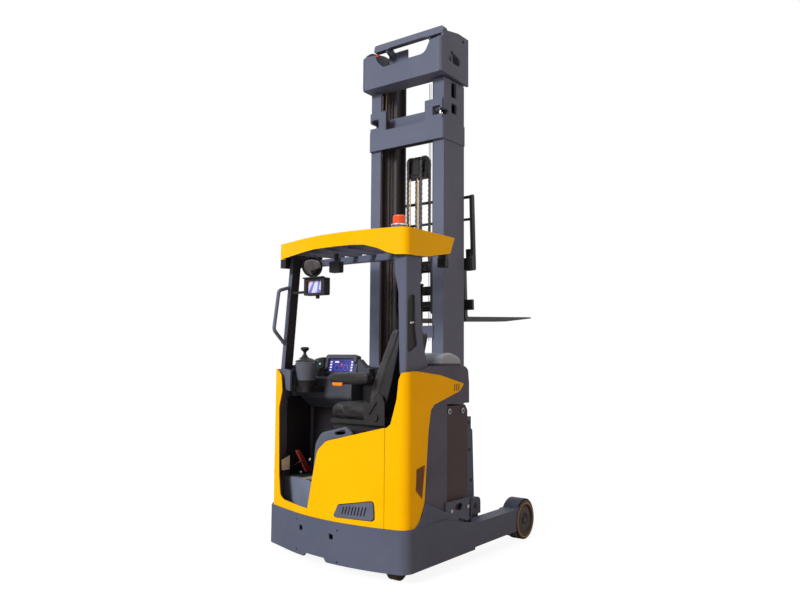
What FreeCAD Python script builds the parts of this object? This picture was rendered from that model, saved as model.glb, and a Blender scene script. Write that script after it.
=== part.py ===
import FreeCAD, Part
import math
import os
import Sketcher

# Electric reach truck with a three-stage mast.
# +X is the truck's right side, +Y the fork end, +Z up.  Every piece is drawn from a datum
# at the rear edge of the overhead guard, and each Placement then moves the datum back by
# mid_length, so that the origin is on the floor at the middle of the whole truck.

doc = FreeCAD.newDocument("reach_truck")
Vec = FreeCAD.Vector

# ---------------------------------------------------------------- driving dimensions
SIZES = [
    ("mid_length", 1085.755, "datum to the middle of the overall length"),
    ("half_width", 635.0, "half the overall width"),
    ("skirt_low", 68.0, "chassis skirt above the floor"),
    ("skirt_high", 328.0, "top of the chassis skirt"),
    ("skirt_wall", 14.0, "chassis plate"),
    ("chassis_front", 760.0, "front face of the chassis"),
    ("shell_wall", 6.0, "body panels"),
    ("floor_top", 520.0, "operator's floor"),
    ("bay_rear", 441.0, "rear wall of the battery bay"),
    ("bay_front", 724.0, "front of the battery"),
    ("tray_top", 292.0, "battery tray"),
    ("battery_top", 1051.0, "top of the battery"),
    ("hood_top", 1313.0, "top of the battery hood"),
    ("guard_top", 2186.0, "top of the overhead guard"),
    ("guard_depth", 174.0, "height of the guard's side skirt"),
    ("leg_top", 244.0, "top of the straddle legs"),
    ("leg_low", 84.0, "underside of the straddle legs"),
    ("leg_width", 112.0, "straddle leg"),
    ("leg_front", 1360.0, "front end of the leg's box section"),
    ("load_wheel_y", 1502.0, "load wheel axle"),
    ("load_wheel_radius", 143.0, "load wheel"),
    ("load_wheel_width", 100.0, "load wheel"),
    ("drive_x", 60.0, "drive unit axis"),
    ("drive_y", 190.0, "drive unit axis"),
    ("drive_wheel_radius", 171.5, "drive wheel"),
    ("drive_wheel_width", 114.0, "drive wheel"),
    ("castor_x", 488.0, "castor swivel axis"),
    ("castor_y", 110.0, "castor swivel axis"),
    ("castor_radius", 70.0, "castor wheel"),
    ("castor_trail", 42.0, "castor axle behind its swivel axis"),
    ("mast_rear", 798.0, "rear face of the outer mast stage"),
    ("mast_depth", 281.0, "front to back over the outer stage"),
    ("outer_half", 345.0, "half the width over the outer stage"),
    ("outer_low", 96.0, "foot of the outer stage"),
    ("outer_top", 3462.0, "top of the outer stage"),
    ("beam_low", 2994.0, "underside of the outer tie beam"),
    ("beam_high", 3146.0, "top of the outer tie beam"),
    ("middle_rear", 879.0, "rear face of the middle stage's rails"),
    ("inner_rear", 903.0, "rear face of the inner stage's rails"),
    ("middle_half", 318.0, "half the width over the middle stage"),
    ("inner_half", 256.0, "half the width over the inner stage"),
    ("head_low", 3478.0, "underside of the middle stage's head"),
    ("head_high", 3842.0, "top of the middle stage's head"),
    ("head_half", 357.0, "half the width of the head"),
    ("head_rear", 717.0, "rear face of the head"),
    ("head_front", 1104.0, "front edge of the head"),
    ("mast_top", 3860.0, "top of the inner stage's bar"),
    ("fork_level", 1687.0, "top of the fork blade at its heel"),
    ("fork_face", 1204.0, "front face of the fork shanks at the heel"),
    ("fork_length", 1070.0, "fork blade"),
    ("fork_width", 100.0, "fork blade"),
    ("fork_thick", 38.0, "fork blade and shank"),
    ("fork_x", 250.0, "middle of each fork"),
    ("fork_tilt", 2.6, "forks tilted back, degrees"),
    ("fork_pivot_y", 1112.0, "tilt pin of the fork frame"),
    ("fork_pivot_z", 1766.0, "tilt pin of the fork frame as parked"),
    ("pulley_radius", 60.0, "free-lift chain pulleys"),
    ("pulley_x", 62.0, "free-lift chain pulleys"),
    ("pulley_z", 2880.0, "free-lift chain pulleys as parked"),
    ("lift_x", 287.0, "main lift cylinders"),
    ("lift_y", 848.0, "main lift cylinders"),
    ("roller_rear_y", 530.0, "rear roller of the reach carriage"),
    ("roller_front_y", 690.0, "front roller of the reach carriage"),
    ("reach_x", -300.0, "reach cylinder"),
    ("reach_z", 172.0, "reach cylinder"),
]

sheet = doc.addObject("Spreadsheet::Sheet", "dims")
for row, (alias, value, note) in enumerate(SIZES, start=1):
    sheet.set("A%d" % row, alias)
    sheet.set("B%d" % row, "%g" % value)
    sheet.setAlias("B%d" % row, alias)
    sheet.set("C%d" % row, note)
doc.recompute()


class Size:
    """A length together with the formula that ties it to the sheet."""

    def __init__(self, value, formula):
        self.value = float(value)
        self.formula = formula

    def __add__(self, other):
        other = as_size(other)
        return Size(self.value + other.value, "(%s + %s)" % (self.formula, other.formula))

    __radd__ = __add__

    def __sub__(self, other):
        other = as_size(other)
        return Size(self.value - other.value, "(%s - %s)" % (self.formula, other.formula))

    def __rsub__(self, other):
        return as_size(other) - self

    def __neg__(self):
        return Size(-self.value, "(0 - %s)" % self.formula)

    def __mul__(self, factor):
        return Size(self.value * factor, "(%s * %g)" % (self.formula, factor))

    __rmul__ = __mul__

    def __truediv__(self, factor):
        return Size(self.value / factor, "(%s / %g)" % (self.formula, factor))

    def __float__(self):
        return self.value


def as_size(value):
    if isinstance(value, Size):
        return value
    return Size(value, "%g" % value)


class Sheet:
    """The sheet's cells by name, each with its value and formula."""


D = Sheet()
for alias, value, note in SIZES:
    setattr(D, alias, Size(value, "dims." + alias))


# ---------------------------------------------------------------- drawing helpers
def num(value):
    return float(value)


def corner_points(points):
    """Outline corners as (x, y, radius), a missing radius being 0."""
    return [(num(p[0]), num(p[1]), num(p[2]) if len(p) > 2 else 0.0) for p in points]


def rounded_edges(points):
    """Lines and tangent arcs of a closed outline with rounded corners, and each one's start."""
    corners = corner_points(points)
    count = len(corners)
    ends = []
    for i in range(count):
        x, y, radius = corners[i]
        here = Vec(x, y, 0)
        if radius == 0:
            ends.append((here, here, None))
            continue
        before = Vec(corners[i - 1][0], corners[i - 1][1], 0) - here
        after = Vec(corners[(i + 1) % count][0], corners[(i + 1) % count][1], 0) - here
        before.normalize()
        after.normalize()
        half = before.getAngle(after) / 2
        back = radius / math.tan(half)
        middle = before + after
        middle.normalize()
        top = here + middle * (radius / math.sin(half) - radius)
        ends.append((here + before * back, here + after * back, top))
    edges = []
    joints = []
    for i in range(count):
        start, stop, top = ends[i]
        if top is not None:
            edges.append(Part.Arc(start, top, stop))
            joints.append(start)
        following = ends[(i + 1) % count][0]
        if (following - stop).Length > 1e-6:
            edges.append(Part.LineSegment(stop, following))
            joints.append(stop)
    return edges, joints


PLANES = {"XY": "XY_Plane", "XZ": "XZ_Plane", "YZ": "YZ_Plane"}


class Piece:
    """A PartDesign body for one sub-part; x, y, z move it from the rear datum."""

    def __init__(self, label, x=0, y=0, z=0, tilt=None):
        self.body = doc.addObject("PartDesign::Body", label)
        self.body.Label = label
        if tilt is not None:
            self.body.Placement.Rotation = FreeCAD.Rotation(Vec(1, 0, 0), tilt.value)
            self.body.setExpression("Placement.Rotation.Angle", tilt.formula)
        place = {"x": as_size(x), "y": as_size(y) - D.mid_length, "z": as_size(z)}
        for axis, value in place.items():
            self.body.setExpression("Placement.Base." + axis, value.formula)
        self.count = 0

    def sketch(self, plane, at, outlines):
        """A sketch on one of the body's origin planes, moved along its normal to at."""
        self.count += 1
        sk = self.body.newObject("Sketcher::SketchObject", "%s_s%d" % (self.body.Label, self.count))
        for feature in self.body.Origin.OriginFeatures:
            if feature.Role == PLANES[plane]:
                sk.AttachmentSupport = [(feature, "")]
        sk.MapMode = "FlatFace"
        at = as_size(at)
        if plane == "XZ":
            at = -at
        sk.setExpression("AttachmentOffset.Base.z", at.formula)
        for outline in outlines:
            if outline[0] == "circle":
                centre, radius = outline[1], outline[2]
                circle = Part.Circle(Vec(num(centre[0]), num(centre[1]), 0), Vec(0, 0, 1), num(radius))
                index = sk.addGeometry(circle)
                if isinstance(radius, Size):
                    number = sk.addConstraint(Sketcher.Constraint("Radius", index, radius.value))
                    sk.setExpression("Constraints[%d]" % number, radius.formula)
                continue
            self.draw(sk, outline)
        return sk

    def draw(self, sk, outline):
        """A closed outline; square corners given as Size values stay tied to the sheet."""
        edges, joints = rounded_edges(outline)
        first = sk.GeometryCount
        sk.addGeometry(edges, False)
        count = len(edges)
        for i in range(count):
            j = (i + 1) % count
            # an arc that turns clockwise is stored with its ends swapped
            leaving = min((1, 2), key=lambda end: (sk.getPoint(first + i, end) - joints[j]).Length)
            entering = min((1, 2), key=lambda end: (sk.getPoint(first + j, end) - joints[j]).Length)
            sk.addConstraint(Sketcher.Constraint("Coincident", first + i, leaving, first + j, entering))
        if any(len(p) > 2 and num(p[2]) > 0 for p in outline):
            return
        for i, p in enumerate(outline):
            for kind, value in (("DistanceX", p[0]), ("DistanceY", p[1])):
                if not isinstance(value, Size) or value.value == 0:
                    continue
                number = sk.addConstraint(Sketcher.Constraint(kind, -1, 1, first + i, 1, value.value))
                sk.setExpression("Constraints[%d]" % number, value.formula)

    def pad(self, plane, start, stop, *outlines):
        """Adds the outlines' solid from start to stop along the plane's normal axis."""
        sk = self.sketch(plane, start, outlines)
        pad = self.body.newObject("PartDesign::Pad", "%s_pad%d" % (self.body.Label, self.count))
        pad.Profile = sk
        length = as_size(stop) - as_size(start)
        pad.setExpression("Length", length.formula)
        pad.Reversed = plane == "XZ"
        sk.Visibility = False
        return pad

    def cut(self, plane, start, stop, *outlines):
        """Takes the outlines' solid away from start to stop along the plane's normal axis."""
        sk = self.sketch(plane, start, outlines)
        pocket = self.body.newObject("PartDesign::Pocket", "%s_cut%d" % (self.body.Label, self.count))
        pocket.Profile = sk
        length = as_size(stop) - as_size(start)
        pocket.setExpression("Length", length.formula)
        pocket.Reversed = plane != "XZ"
        return pocket

    def bar(self, axis, start, stop, centre, radius, bore=None):
        """A round bar or tube along axis from start to stop."""
        outlines = [("circle", centre, radius)]
        if bore is not None:
            outlines.append(("circle", centre, bore))
        return self.pad({"X": "YZ", "Y": "XZ", "Z": "XY"}[axis], start, stop, *outlines)

    def turn(self, plane, axis, *outlines, angle=360):
        """Adds the outlines' solid of revolution about the sketch's H or V axis."""
        sk = self.sketch(plane, 0, outlines)
        name = "%s_rev%d" % (self.body.Label, self.count)
        feature = self.body.newObject("PartDesign::Revolution", name)
        feature.Profile = sk
        feature.ReferenceAxis = (sk, [axis + "_Axis"])
        feature.Angle = angle
        return feature

    def round(self, radius, chosen):
        """Fillets the edges whose middle and direction the test chosen accepts."""
        doc.recompute()
        tip = self.body.Tip
        names = []
        for number, edge in enumerate(tip.Shape.Edges, start=1):
            middle = edge.valueAt((edge.FirstParameter + edge.LastParameter) / 2)
            along = edge.tangentAt((edge.FirstParameter + edge.LastParameter) / 2)
            if chosen(middle, along):
                names.append("Edge%d" % number)
        fillet = self.body.newObject("PartDesign::Fillet", "%s_round%d" % (self.body.Label, self.count))
        self.count += 1
        fillet.Base = (tip, names)
        fillet.Radius = radius
        return fillet


def rect(x0, y0, x1, y1, radius=0):
    if radius:
        return [(x0, y0, radius), (x1, y0, radius), (x1, y1, radius), (x0, y1, radius)]
    return [(x0, y0), (x1, y0), (x1, y1), (x0, y1)]


PIECES = {}


def piece(label, **place):
    PIECES[label] = Piece(label, **place)
    return PIECES[label]


def tube(path, radius):
    """A bent tube along (x, y, z, bend radius) points, each bend a tangent arc."""
    corners = [Vec(*p[:3]) for p in path]
    edges = []
    start = corners[0]
    for i in range(1, len(corners) - 1):
        here = corners[i]
        before = (corners[i - 1] - here).normalize()
        after = (corners[i + 1] - here).normalize()
        half = before.getAngle(after) / 2
        back = path[i][3] / math.tan(half)
        middle = (before + after).normalize()
        top = here + middle * (path[i][3] / math.sin(half) - path[i][3])
        edges.append(Part.makeLine(start, here + before * back))
        edges.append(Part.Arc(here + before * back, top, here + after * back).toShape())
        start = here + after * back
    edges.append(Part.makeLine(start, corners[-1]))
    wire = Part.Wire(edges)
    along = (corners[1] - corners[0]).normalize()
    ring = Part.Wire(Part.makeCircle(radius, corners[0], along))
    return wire.makePipeShell([ring], True, True)


def strand(x, y, low, high, pitch=64.0):
    """A leaf-chain strand as a flat bar whose edges step in and out with the links."""
    wide, narrow, thick = 11.0, 8.0, 6.0
    count = int((high - low) / pitch)
    step = (high - low) / count
    right = []
    for k in range(count):
        z = low + k * step
        right += [(wide, z), (wide, z + 0.55 * step), (narrow, z + 0.55 * step), (narrow, z + step)]
    left = [(-u, z) for u, z in reversed(right)]
    outline = [Vec(x + u, y - thick / 2, z) for u, z in right + left]
    return Part.Face(Part.makePolygon(outline + outline[:1])).extrude(Vec(0, thick, 0))


def loose(label, shape, y=0):
    """A sub-part whose shape Part's own functions make, placed from the rear datum."""
    feature = doc.addObject("Part::Feature", label)
    feature.Label = label
    feature.Shape = shape
    feature.setExpression("Placement.Base.y", (as_size(y) - D.mid_length).formula)
    PIECES[label] = feature
    return feature


# ---------------------------------------------------------------- plan of the tail
# The tail bulges to the rear: two nearly straight flanks run into one wide arc, with rounded
# corners.  Body panels and the guard follow the same plan, moved in by an inset.
TAIL_LEFT_Y = 56.0
TAIL_RIGHT_Y = -30.0
TAIL_APEX = (95.0, -172.0)
TAIL_RADIUS = 1660.0
TAIL_LEFT_CORNER = 46.0
TAIL_RIGHT_CORNER = 84.0


def moved_in(points, inset):
    """The closed outline moved in by inset, its rounded corners keeping their centres."""
    corners = corner_points(points)
    count = len(corners)
    lines = []
    for i in range(count):
        x0, y0 = corners[i][:2]
        x1, y1 = corners[(i + 1) % count][:2]
        length = math.hypot(x1 - x0, y1 - y0)
        dx, dy = (x1 - x0) / length, (y1 - y0) / length
        lines.append((x0 - dy * inset, y0 + dx * inset, dx, dy))
    result = []
    for i in range(count):
        ax, ay, adx, ady = lines[i - 1]
        bx, by, bdx, bdy = lines[i]
        cross = adx * bdy - ady * bdx
        along = ((bx - ax) * bdy - (by - ay) * bdx) / cross
        radius = corners[i][2]
        if radius:
            radius = max(radius - inset, 4.0) if cross > 0 else radius + inset
        result.append((ax + adx * along, ay + ady * along, radius))
    return result


def tail(inset, front):
    """Closed plan of the truck's tail, moved in by inset and cut off at front."""
    half = num(D.half_width)
    plan = [
        (-half, front + inset),
        (-half, TAIL_LEFT_Y, TAIL_LEFT_CORNER),
        (TAIL_APEX[0], TAIL_APEX[1], TAIL_RADIUS),
        (half, TAIL_RIGHT_Y, TAIL_RIGHT_CORNER),
        (half, front + inset),
    ]
    return moved_in(plan, inset)


BEHIND = -300.0     # a plane behind everything, where cuts through the tail start
LEFT_OF = -700.0    # a plane left of everything
RIGHT_OF = 700.0    # a plane right of everything

HALF = num(D.half_width)
WALL = num(D.skirt_wall)
FRONT = num(D.chassis_front)
BAY = num(D.bay_rear)
SIDES = (("right", 1), ("left", -1))


def span(side, near, far):
    """Lower and upper x of a plate between near and far from the middle, on one side."""
    return min(side * near, side * far), max(side * near, side * far)


def side_box(side, near, far, low, high):
    """A rectangle in x and one more axis, near to far from the middle on one side."""
    x0, x1 = span(side, near, far)
    return rect(x0, low, x1, high)


# ---------------------------------------------------------------- chassis
DRIVE = (D.drive_x, D.drive_y)
CASTOR = (D.castor_x, D.castor_y)
chassis = piece("chassis")
chassis.pad("XY", D.skirt_low, D.skirt_high, tail(0, FRONT), tail(WALL, FRONT - 2 * WALL))
chassis.pad("XY", D.skirt_high - 12, D.skirt_high, tail(4, BAY))
chassis.pad("XY", D.tray_top - 14, D.tray_top, rect(-HALF + 22, BAY - 20, HALF - 22, FRONT - 4))
for hand, side in SIDES:
    for low, high in ((84, 98), (230, 244)):
        chassis.pad("XZ", BAY - 4, FRONT - 4, side_box(side, HALF - 112, HALF - 10, low, high))
chassis.pad("XZ", D.bay_rear - 14, D.bay_rear, rect(-HALF + 4, 70, HALF - 4, 322))
# the side walls fall away to the legs in front of the battery
fall = [(415.0, 400.0), (415.0, 322.0), (690.0, 262.0), (800.0, 244.0), (800.0, 400.0)]
chassis.cut("YZ", LEFT_OF, -HALF + WALL, fall)
chassis.cut("YZ", HALF - WALL, RIGHT_OF, fall)
chassis.cut("XZ", FRONT - 20, FRONT + 5, rect(-HALF - 5, num(D.leg_top), HALF + 5, 400))
# step in the rear skirt's lower edge, two tow openings and four bolt holes
chassis.cut("XZ", BEHIND, 20, [(-181, 60), (-152, 92), (28, 92), (56, 60)])
for x, z in ((-207, 243), (90, 233)):
    chassis.cut("XZ", BEHIND, 20, [
        (x - 17, z - 14), (x + 3, z - 20), (x + 3, z - 14), (x + 18, z - 16), (x + 18, z + 14),
        (x - 17, z + 22)])
for x, z in ((-254, 294), (143, 280), (-255, 97), (143, 83)):
    chassis.cut("XZ", BEHIND, 20, ("circle", (x, z), 6))
# openings over the drive unit, for the reach cylinder and for the reach carriage's arms
chassis.cut("XY", D.skirt_high - 40, D.skirt_high + 10, ("circle", DRIVE, 190))
chassis.cut("XZ", 400, FRONT + 5, ("circle", (D.reach_x, D.reach_z), 40))
for hand, side in SIDES:
    chassis.cut("XZ", FRONT - 30, FRONT + 5, side_box(side, 436, HALF - 18, 100, 228))
# raised seat of the drive unit and housing of the castor's bearing
chassis.pad("XY", D.skirt_high - 10, 376, ("circle", DRIVE, 206), ("circle", DRIVE, 190))
chassis.pad("XY", 370, 384, ("circle", DRIVE, 206), ("circle", DRIVE, 134))
chassis.pad("XY", 206, D.skirt_high, ("circle", CASTOR, 46), ("circle", CASTOR, 24))


# ---------------------------------------------------------------- straddle legs
def straddle_leg(label, side):
    """C-section leg open towards the mast, with an arched cover over the load wheel."""
    leg = piece(label)
    inner = HALF - num(D.leg_width)
    low, high = num(D.leg_low), num(D.leg_top)
    axle = (D.load_wheel_y, D.load_wheel_radius)
    axle_y, radius = num(D.load_wheel_y), num(D.load_wheel_radius)
    end = num(D.leg_front)
    neck = [
        (end - 40, low), (axle_y, low), (axle_y, radius), (axle_y, radius + 140),
        (axle_y - 66, radius + 136, 50),
        (axle_y - 116, high, 60), (end - 80, high), (end - 80, low + 80)]
    leg.pad("XZ", FRONT, end - 10, side_box(side, inner, HALF, low, high))
    leg.pad("YZ", *span(side, inner, HALF), neck)
    leg.pad("YZ", *span(side, inner - 16, HALF - 12), ("circle", axle, radius + 16))
    leg.pad("YZ", *span(side, inner - 16, inner + 1), [
        (end - 38, low), (axle_y + 60, low, 60), (axle_y + radius, radius, 60),
        (axle_y, radius + 140), (axle_y - 66, radius + 136, 50),
        (axle_y - 116, high, 60), (end - 38, high)])
    leg.cut("YZ", *span(side, inner, HALF + 10), ("circle", axle, radius + 8))
    leg.cut("YZ", *span(side, inner + 1, HALF + 10), [
        (axle_y - 10, -60), (axle_y + 200, -60), (axle_y + 200, radius + 64),
        (axle_y + 100, radius + 24), (axle_y - 10, radius + 24)])
    leg.cut("XZ", axle_y - 200, axle_y + 200, rect(-HALF - 5, -60, HALF + 5, 36))
    leg.cut("XZ", FRONT - 10, end - 32, side_box(side, inner - 30, HALF - 18, low + 14, high - 14))
    leg.bar("X", *span(side, inner - 22, HALF - 104), axle, 34)
    leg.bar("X", *span(side, inner - 22, HALF - 6), axle, 17)


for hand, side in SIDES:
    straddle_leg("straddle_leg_" + hand, side)


# ---------------------------------------------------------------- wheels
def rolling(label, x, y, z, profile):
    """A wheel turned about the X axis from a half profile (x, radius)."""
    wheel = piece(label, x=x, y=y, z=z)
    wheel.turn("XZ", "H", profile)


RADIUS = num(D.load_wheel_radius)
TREAD = num(D.load_wheel_width) / 2
LOAD_PROFILE = [
    (-TREAD, 17.5), (TREAD - 16, 17.5), (TREAD - 16, 40), (TREAD - 8, 52), (TREAD - 12, 100),
    (TREAD - 2, 108),
    (TREAD, 118), (TREAD, RADIUS - 6), (TREAD - 6, RADIUS), (6 - TREAD, RADIUS), (-TREAD, RADIUS - 6),
]
LOAD_X = HALF - TREAD
rolling("load_wheel_right", LOAD_X, D.load_wheel_y, D.load_wheel_radius, LOAD_PROFILE)
rolling("load_wheel_left", -LOAD_X, D.load_wheel_y, D.load_wheel_radius,
        [(-p[0],) + tuple(p[1:]) for p in reversed(LOAD_PROFILE)])
DRIVE_R = num(D.drive_wheel_radius)
DRIVE_W = num(D.drive_wheel_width) / 2
rolling("drive_wheel", D.drive_x, D.drive_y, D.drive_wheel_radius, [
    (-DRIVE_W, 31), (DRIVE_W - 10, 31), (DRIVE_W - 10, 60), (DRIVE_W, 128), (DRIVE_W, DRIVE_R - 6),
    (DRIVE_W - 6, DRIVE_R), (6 - DRIVE_W, DRIVE_R), (-DRIVE_W, DRIVE_R - 6)])
CASTOR_R = num(D.castor_radius)
rolling("castor_wheel", D.castor_x, D.castor_y - D.castor_trail, D.castor_radius, [
    (-36, 12.5), (36, 12.5), (36, CASTOR_R - 5), (31, CASTOR_R), (-31, CASTOR_R), (-36, CASTOR_R - 5)])

# the castor fork swivels on a stub in the chassis; its axle trails behind the stub
castor = piece("castor_fork", x=D.castor_x, y=D.castor_y)
castor.pad("XY", 156, 170, ("circle", (0, 0), 54))
castor.pad("XY", 156, 300, ("circle", (0, 0), 23))
castor.pad("XY", 150, 160, rect(-50, -62, 50, 46))
for hand, side in SIDES:
    castor.pad("YZ", *span(side, 41, 50), [
        (-66, 50, 14), (-18, 50, 14), (44, 150), (44, 160), (-62, 160), (-66, 100)])
castor.bar("X", -45, 45, (-D.castor_trail, D.castor_radius), 12)

# the drive unit swivels in the raised seat: gearbox leg beside the wheel, motor on top
drive = piece("drive_unit", x=D.drive_x, y=D.drive_y)
drive.bar("Z", 350, 362, (0, 0), 176)
drive.bar("Z", 356, 410, (0, 0), 128)
drive.bar("Z", 408, 640, (0, 0), 96)
drive.bar("Z", 638, 672, (0, 0), 66)
drive.pad("YZ", -116, -66, [(-80, 356), (-78, 160, 50), (0, 96, 60), (78, 160, 50), (80, 356)])
drive.bar("X", -70, 56, (0, D.drive_wheel_radius), 30)

# ---------------------------------------------------------------- operator's floor
STEP = [(-230, 96, 60), (-560, 150, 40)]
floor = piece("cab_floor")
floor.pad("XY", D.floor_top - 16, D.floor_top, tail(38, 403))
floor.cut("XY", D.floor_top - 40, D.floor_top + 20, rect(-86, -300, 700, 500))
DOORWAY = [(LEFT_OF, -200), (-60, -200), (-60, 96)] + STEP + [(LEFT_OF, 150)]
floor.cut("XY", D.floor_top - 40, D.floor_top + 20, DOORWAY)
# riser of the step, bowed towards the doorway, and the step's tread on the chassis deck
floor.pad("XY", D.skirt_high, D.floor_top, [
    (-594, 152), (-560, 150, 40), (-230, 96, 60), (-148, 96), (-148, 108), (-230, 108, 60),
    (-560, 162, 40), (-594, 164)])
floor.pad("XY", D.skirt_high, D.skirt_high + 8, tail(46, 160))
floor.cut("XY", D.skirt_high - 5, D.skirt_high + 9, rect(-160, -300, 700, 500))

# ---------------------------------------------------------------- body panels
INSET = 14.0
SHELL = num(D.shell_wall)
SEAM = 476.0
SIDE_EDGE = [(110, 320), (106, 340, 30), (170, 461, 90), (213, 914), (240, 1038, 20), (279, 1070, 20),
             (586, 1148, 14), (636, 1197, 4), (343, 1258, 300), (60, 1286), (60, 1400), (800, 1400),
             (800, 320)]


def shell(label, low, high, front=700.0):
    """A band of the tail's panels, from which a panel is then cut."""
    band = piece(label)
    band.pad("XY", low, high, tail(INSET, front), tail(INSET + SHELL, front - 2 * SHELL))
    band.cut("XY", low - 5, high + 5, rect(-HALF - 5, front - 39, HALF + 5, front + 50))
    return band


def side_vents(band, side):
    """Slots of the small horn grille at the panel's tip and of the louvre low on its edge."""
    across = span(side, HALF - 40, HALF + 10)
    for y in (516, 542, 568):
        band.cut("YZ", *across, [(y - 6, 1150), (y + 4, 1150), (y + 10, 1196), (y, 1196)])
    for y in (82, 98, 114, 130, 146):
        lean = (y - 82) * 0.25
        low, high = 552 - lean, 682 + lean
        band.cut("YZ", *across, [(y - 4, low + 4), (y + 4, low), (y + 10, high + 2), (y + 2, high)])


# the seat box panel across the tail, with the opening for the vent
rear_panel = shell("rear_panel", D.skirt_high, 960)
rear_panel.cut("XY", D.skirt_high - 5, 965, rect(LEFT_OF, BEHIND, -158, 800))
rear_panel.cut("XY", D.skirt_high - 5, 965, rect(SEAM, BEHIND, RIGHT_OF, 800))
rear_panel.cut("XZ", BEHIND, 800, [
    (-170, 320), (-157, 320), (-156, 377), (-114, 559), (-62, 760, 90), (20, 826, 90), (SEAM + 5, 938),
    (SEAM + 5, 1000), (-170, 1000)])
VENT = [(94, 356, 10), (135, 440, 26), (409, 490, 22), (418, 364, 26)]
rear_panel.cut("XZ", BEHIND, 800, VENT)

# the corner cover wraps from the tail to the right side
corner_cover = shell("corner_cover", D.skirt_high, 1284)
corner_cover.cut("XY", D.skirt_high - 5, 1290, rect(LEFT_OF, BEHIND, SEAM + 3, 800))
corner_cover.cut("XZ", BEHIND, 30, [
    (SEAM - 5, 936), (SEAM + 12, 936, 12), (515, 960, 20), (553, 1108), (566, 1232, 10),
    (582, 1275, 14),
    (660, 1290), (660, 1400), (SEAM - 5, 1400)])
corner_cover.cut("YZ", HALF - 60, RIGHT_OF, SIDE_EDGE)
side_vents(corner_cover, 1)

# the door frame wraps from the doorway to the left side
door_frame = shell("door_frame", D.skirt_high, 1284)
door_frame.cut("XY", D.skirt_high - 5, 1290, rect(-158, BEHIND, RIGHT_OF, 800))
door_frame.cut("XZ", BEHIND, 70, [
    (-157, 372), (-459, 384, 40), (-512, 404, 30), (-534, 543), (-550, 925), (-553, 1016, 14),
    (-512, 1132, 14), (-528, 1240, 14),
    (-600, 1290), (-600, 1400), (-100, 1400), (-100, 372)])
door_frame.cut("YZ", LEFT_OF, -HALF + 60, SIDE_EDGE)
side_vents(door_frame, -1)

# grey side frames between the panels and the battery, joined to the hood over the battery
side_frames = piece("side_frames")
for hand, side in SIDES:
    side_frames.pad("YZ", *span(side, HALF - 34, HALF - 20.5), [
        (94, 328), (424, 328), (436, 340), (436, 1060), (440, 1064), (714, 1064), (714, 1200),
        (700, 1290, 26), (660, 1315, 30),
        (259, 1315), (150, 1290), (94, 1280)])
    side_frames.pad("YZ", *span(side, HALF - 76, HALF - 33), rect(404, 328, 436, 1044))

# hood over the battery, with the motor's dome on its right
hood = piece("battery_hood")
hood.pad("YZ", -600, 600, [
    (426, 1064), (712, 1064), (712, 1200), (700, 1288, 26), (658, D.hood_top, 30),
    (426, D.hood_top, 16)])
hood.cut("YZ", -588, 588, [
    (438, 1050), (700, 1050), (700, 1200), (690, 1280, 20), (655, 1301, 20), (438, 1301, 8)])
hood.pad("YZ", 330, 560, [(450, 1302), (456, 1392, 50), (570, 1406, 90), (700, 1372, 60), (704, 1302)])
hood.round(18, lambda at, along: at.z > 1330 and abs(along.x) < 0.1)

# vent box standing proud of the rear panel, with slanted slots
vent = piece("vent_grille")
vent.pad("XY", 350, 496, tail(INSET - 7, 500), tail(INSET + 16, 400))
vent.cut("XZ", BEHIND, 600, rect(-700, 300, 700, 560), [
    (98, 360, 10), (139, 436, 24), (405, 485, 20), (413, 369, 24)])
vent.cut("XY", 300, 500, rect(-700, 60, 700, 620))
for number in range(8):
    x = 170 + 24 * number
    foot = 384 + 0.8 * number
    crest = 432 + 2 * number
    vent.cut("XZ", BEHIND, 60, [(x, foot), (x + 9, foot), (x + 24, crest), (x + 15, crest)])

# ---------------------------------------------------------------- overhead guard
guard = piece("overhead_guard")
guard.pad("XY", D.guard_top - D.guard_depth, D.guard_top, tail(30, 543))
guard.cut("XY", D.guard_top - D.guard_depth - 5, D.guard_top - 14, tail(42, 519))
guard.cut("XY", D.guard_top - 30, D.guard_top + 10, [
    (-555, 130, 20), (-500, 70, 40), (95, -50, 1200), (520, 26, 40), (555, 60, 20), (555, 440, 20),
    (-555, 440, 20)])
guard.cut("YZ", LEFT_OF, RIGHT_OF, [
    (560, 2200), (543, 2190), (486, 2072), (208, 2019, 200), (60, 2011), (-40, 2011), (-40, 1990),
    (600, 1990)])
guard.cut("XZ", BEHIND, 70, [
    (-700, 2000), (-700, 2078), (-500, 2080), (-150, 2098, 900), (204, 2096, 160), (304, 2088, 90),
    (400, 2062), (475, 2028, 60), (526, 2014, 40), (640, 2009), (640, 2000)])

# ---------------------------------------------------------------- guard frame
guard_bars = piece("guard_frame")
guard_bars.pad("XY", 2120, 2160, rect(-560, 76, 560, 116))
guard_bars.pad("XY", 2064, 2112, rect(-588, 440, 588, 490))
for hand, side in SIDES:
    guard_bars.pad("YZ", *span(side, 552, 588), [
        (100, 2120), (452, 2064), (490, 2064), (490, 2112), (452, 2112), (100, 2160)])
for number in range(6):
    x = -500 + 170 * number
    guard_bars.pad("XY", 2104, 2130, [(x, 80), (x + 34, 80), (x + 176, 470), (x + 142, 470)])
# right pillar: a broad cast column with a window, flaring to the front at its foot
guard_bars.pad("YZ", 489, 588, [
    (30, 2125), (150, 2125), (160, 2010), (167, 1715, 900), (194, 1447, 600), (253, 1317),
    (262, 1180), (24, 1180), (12, 1300),
    (10, 2010)])
guard_bars.cut("XZ", BEHIND, 430, [
    (470, 1100), (536, 1100), (530, 1320), (519, 1780, 60), (489, 1912, 60), (486, 2000),
    (470, 2000)])
guard_bars.cut("YZ", 480, 620, [
    (26, 1714, 10), (44, 1759, 16), (104, 1770, 16), (110, 1543, 200), (133, 1446, 20),
    (48, 1401, 10), (26, 1416, 10)])
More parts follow.
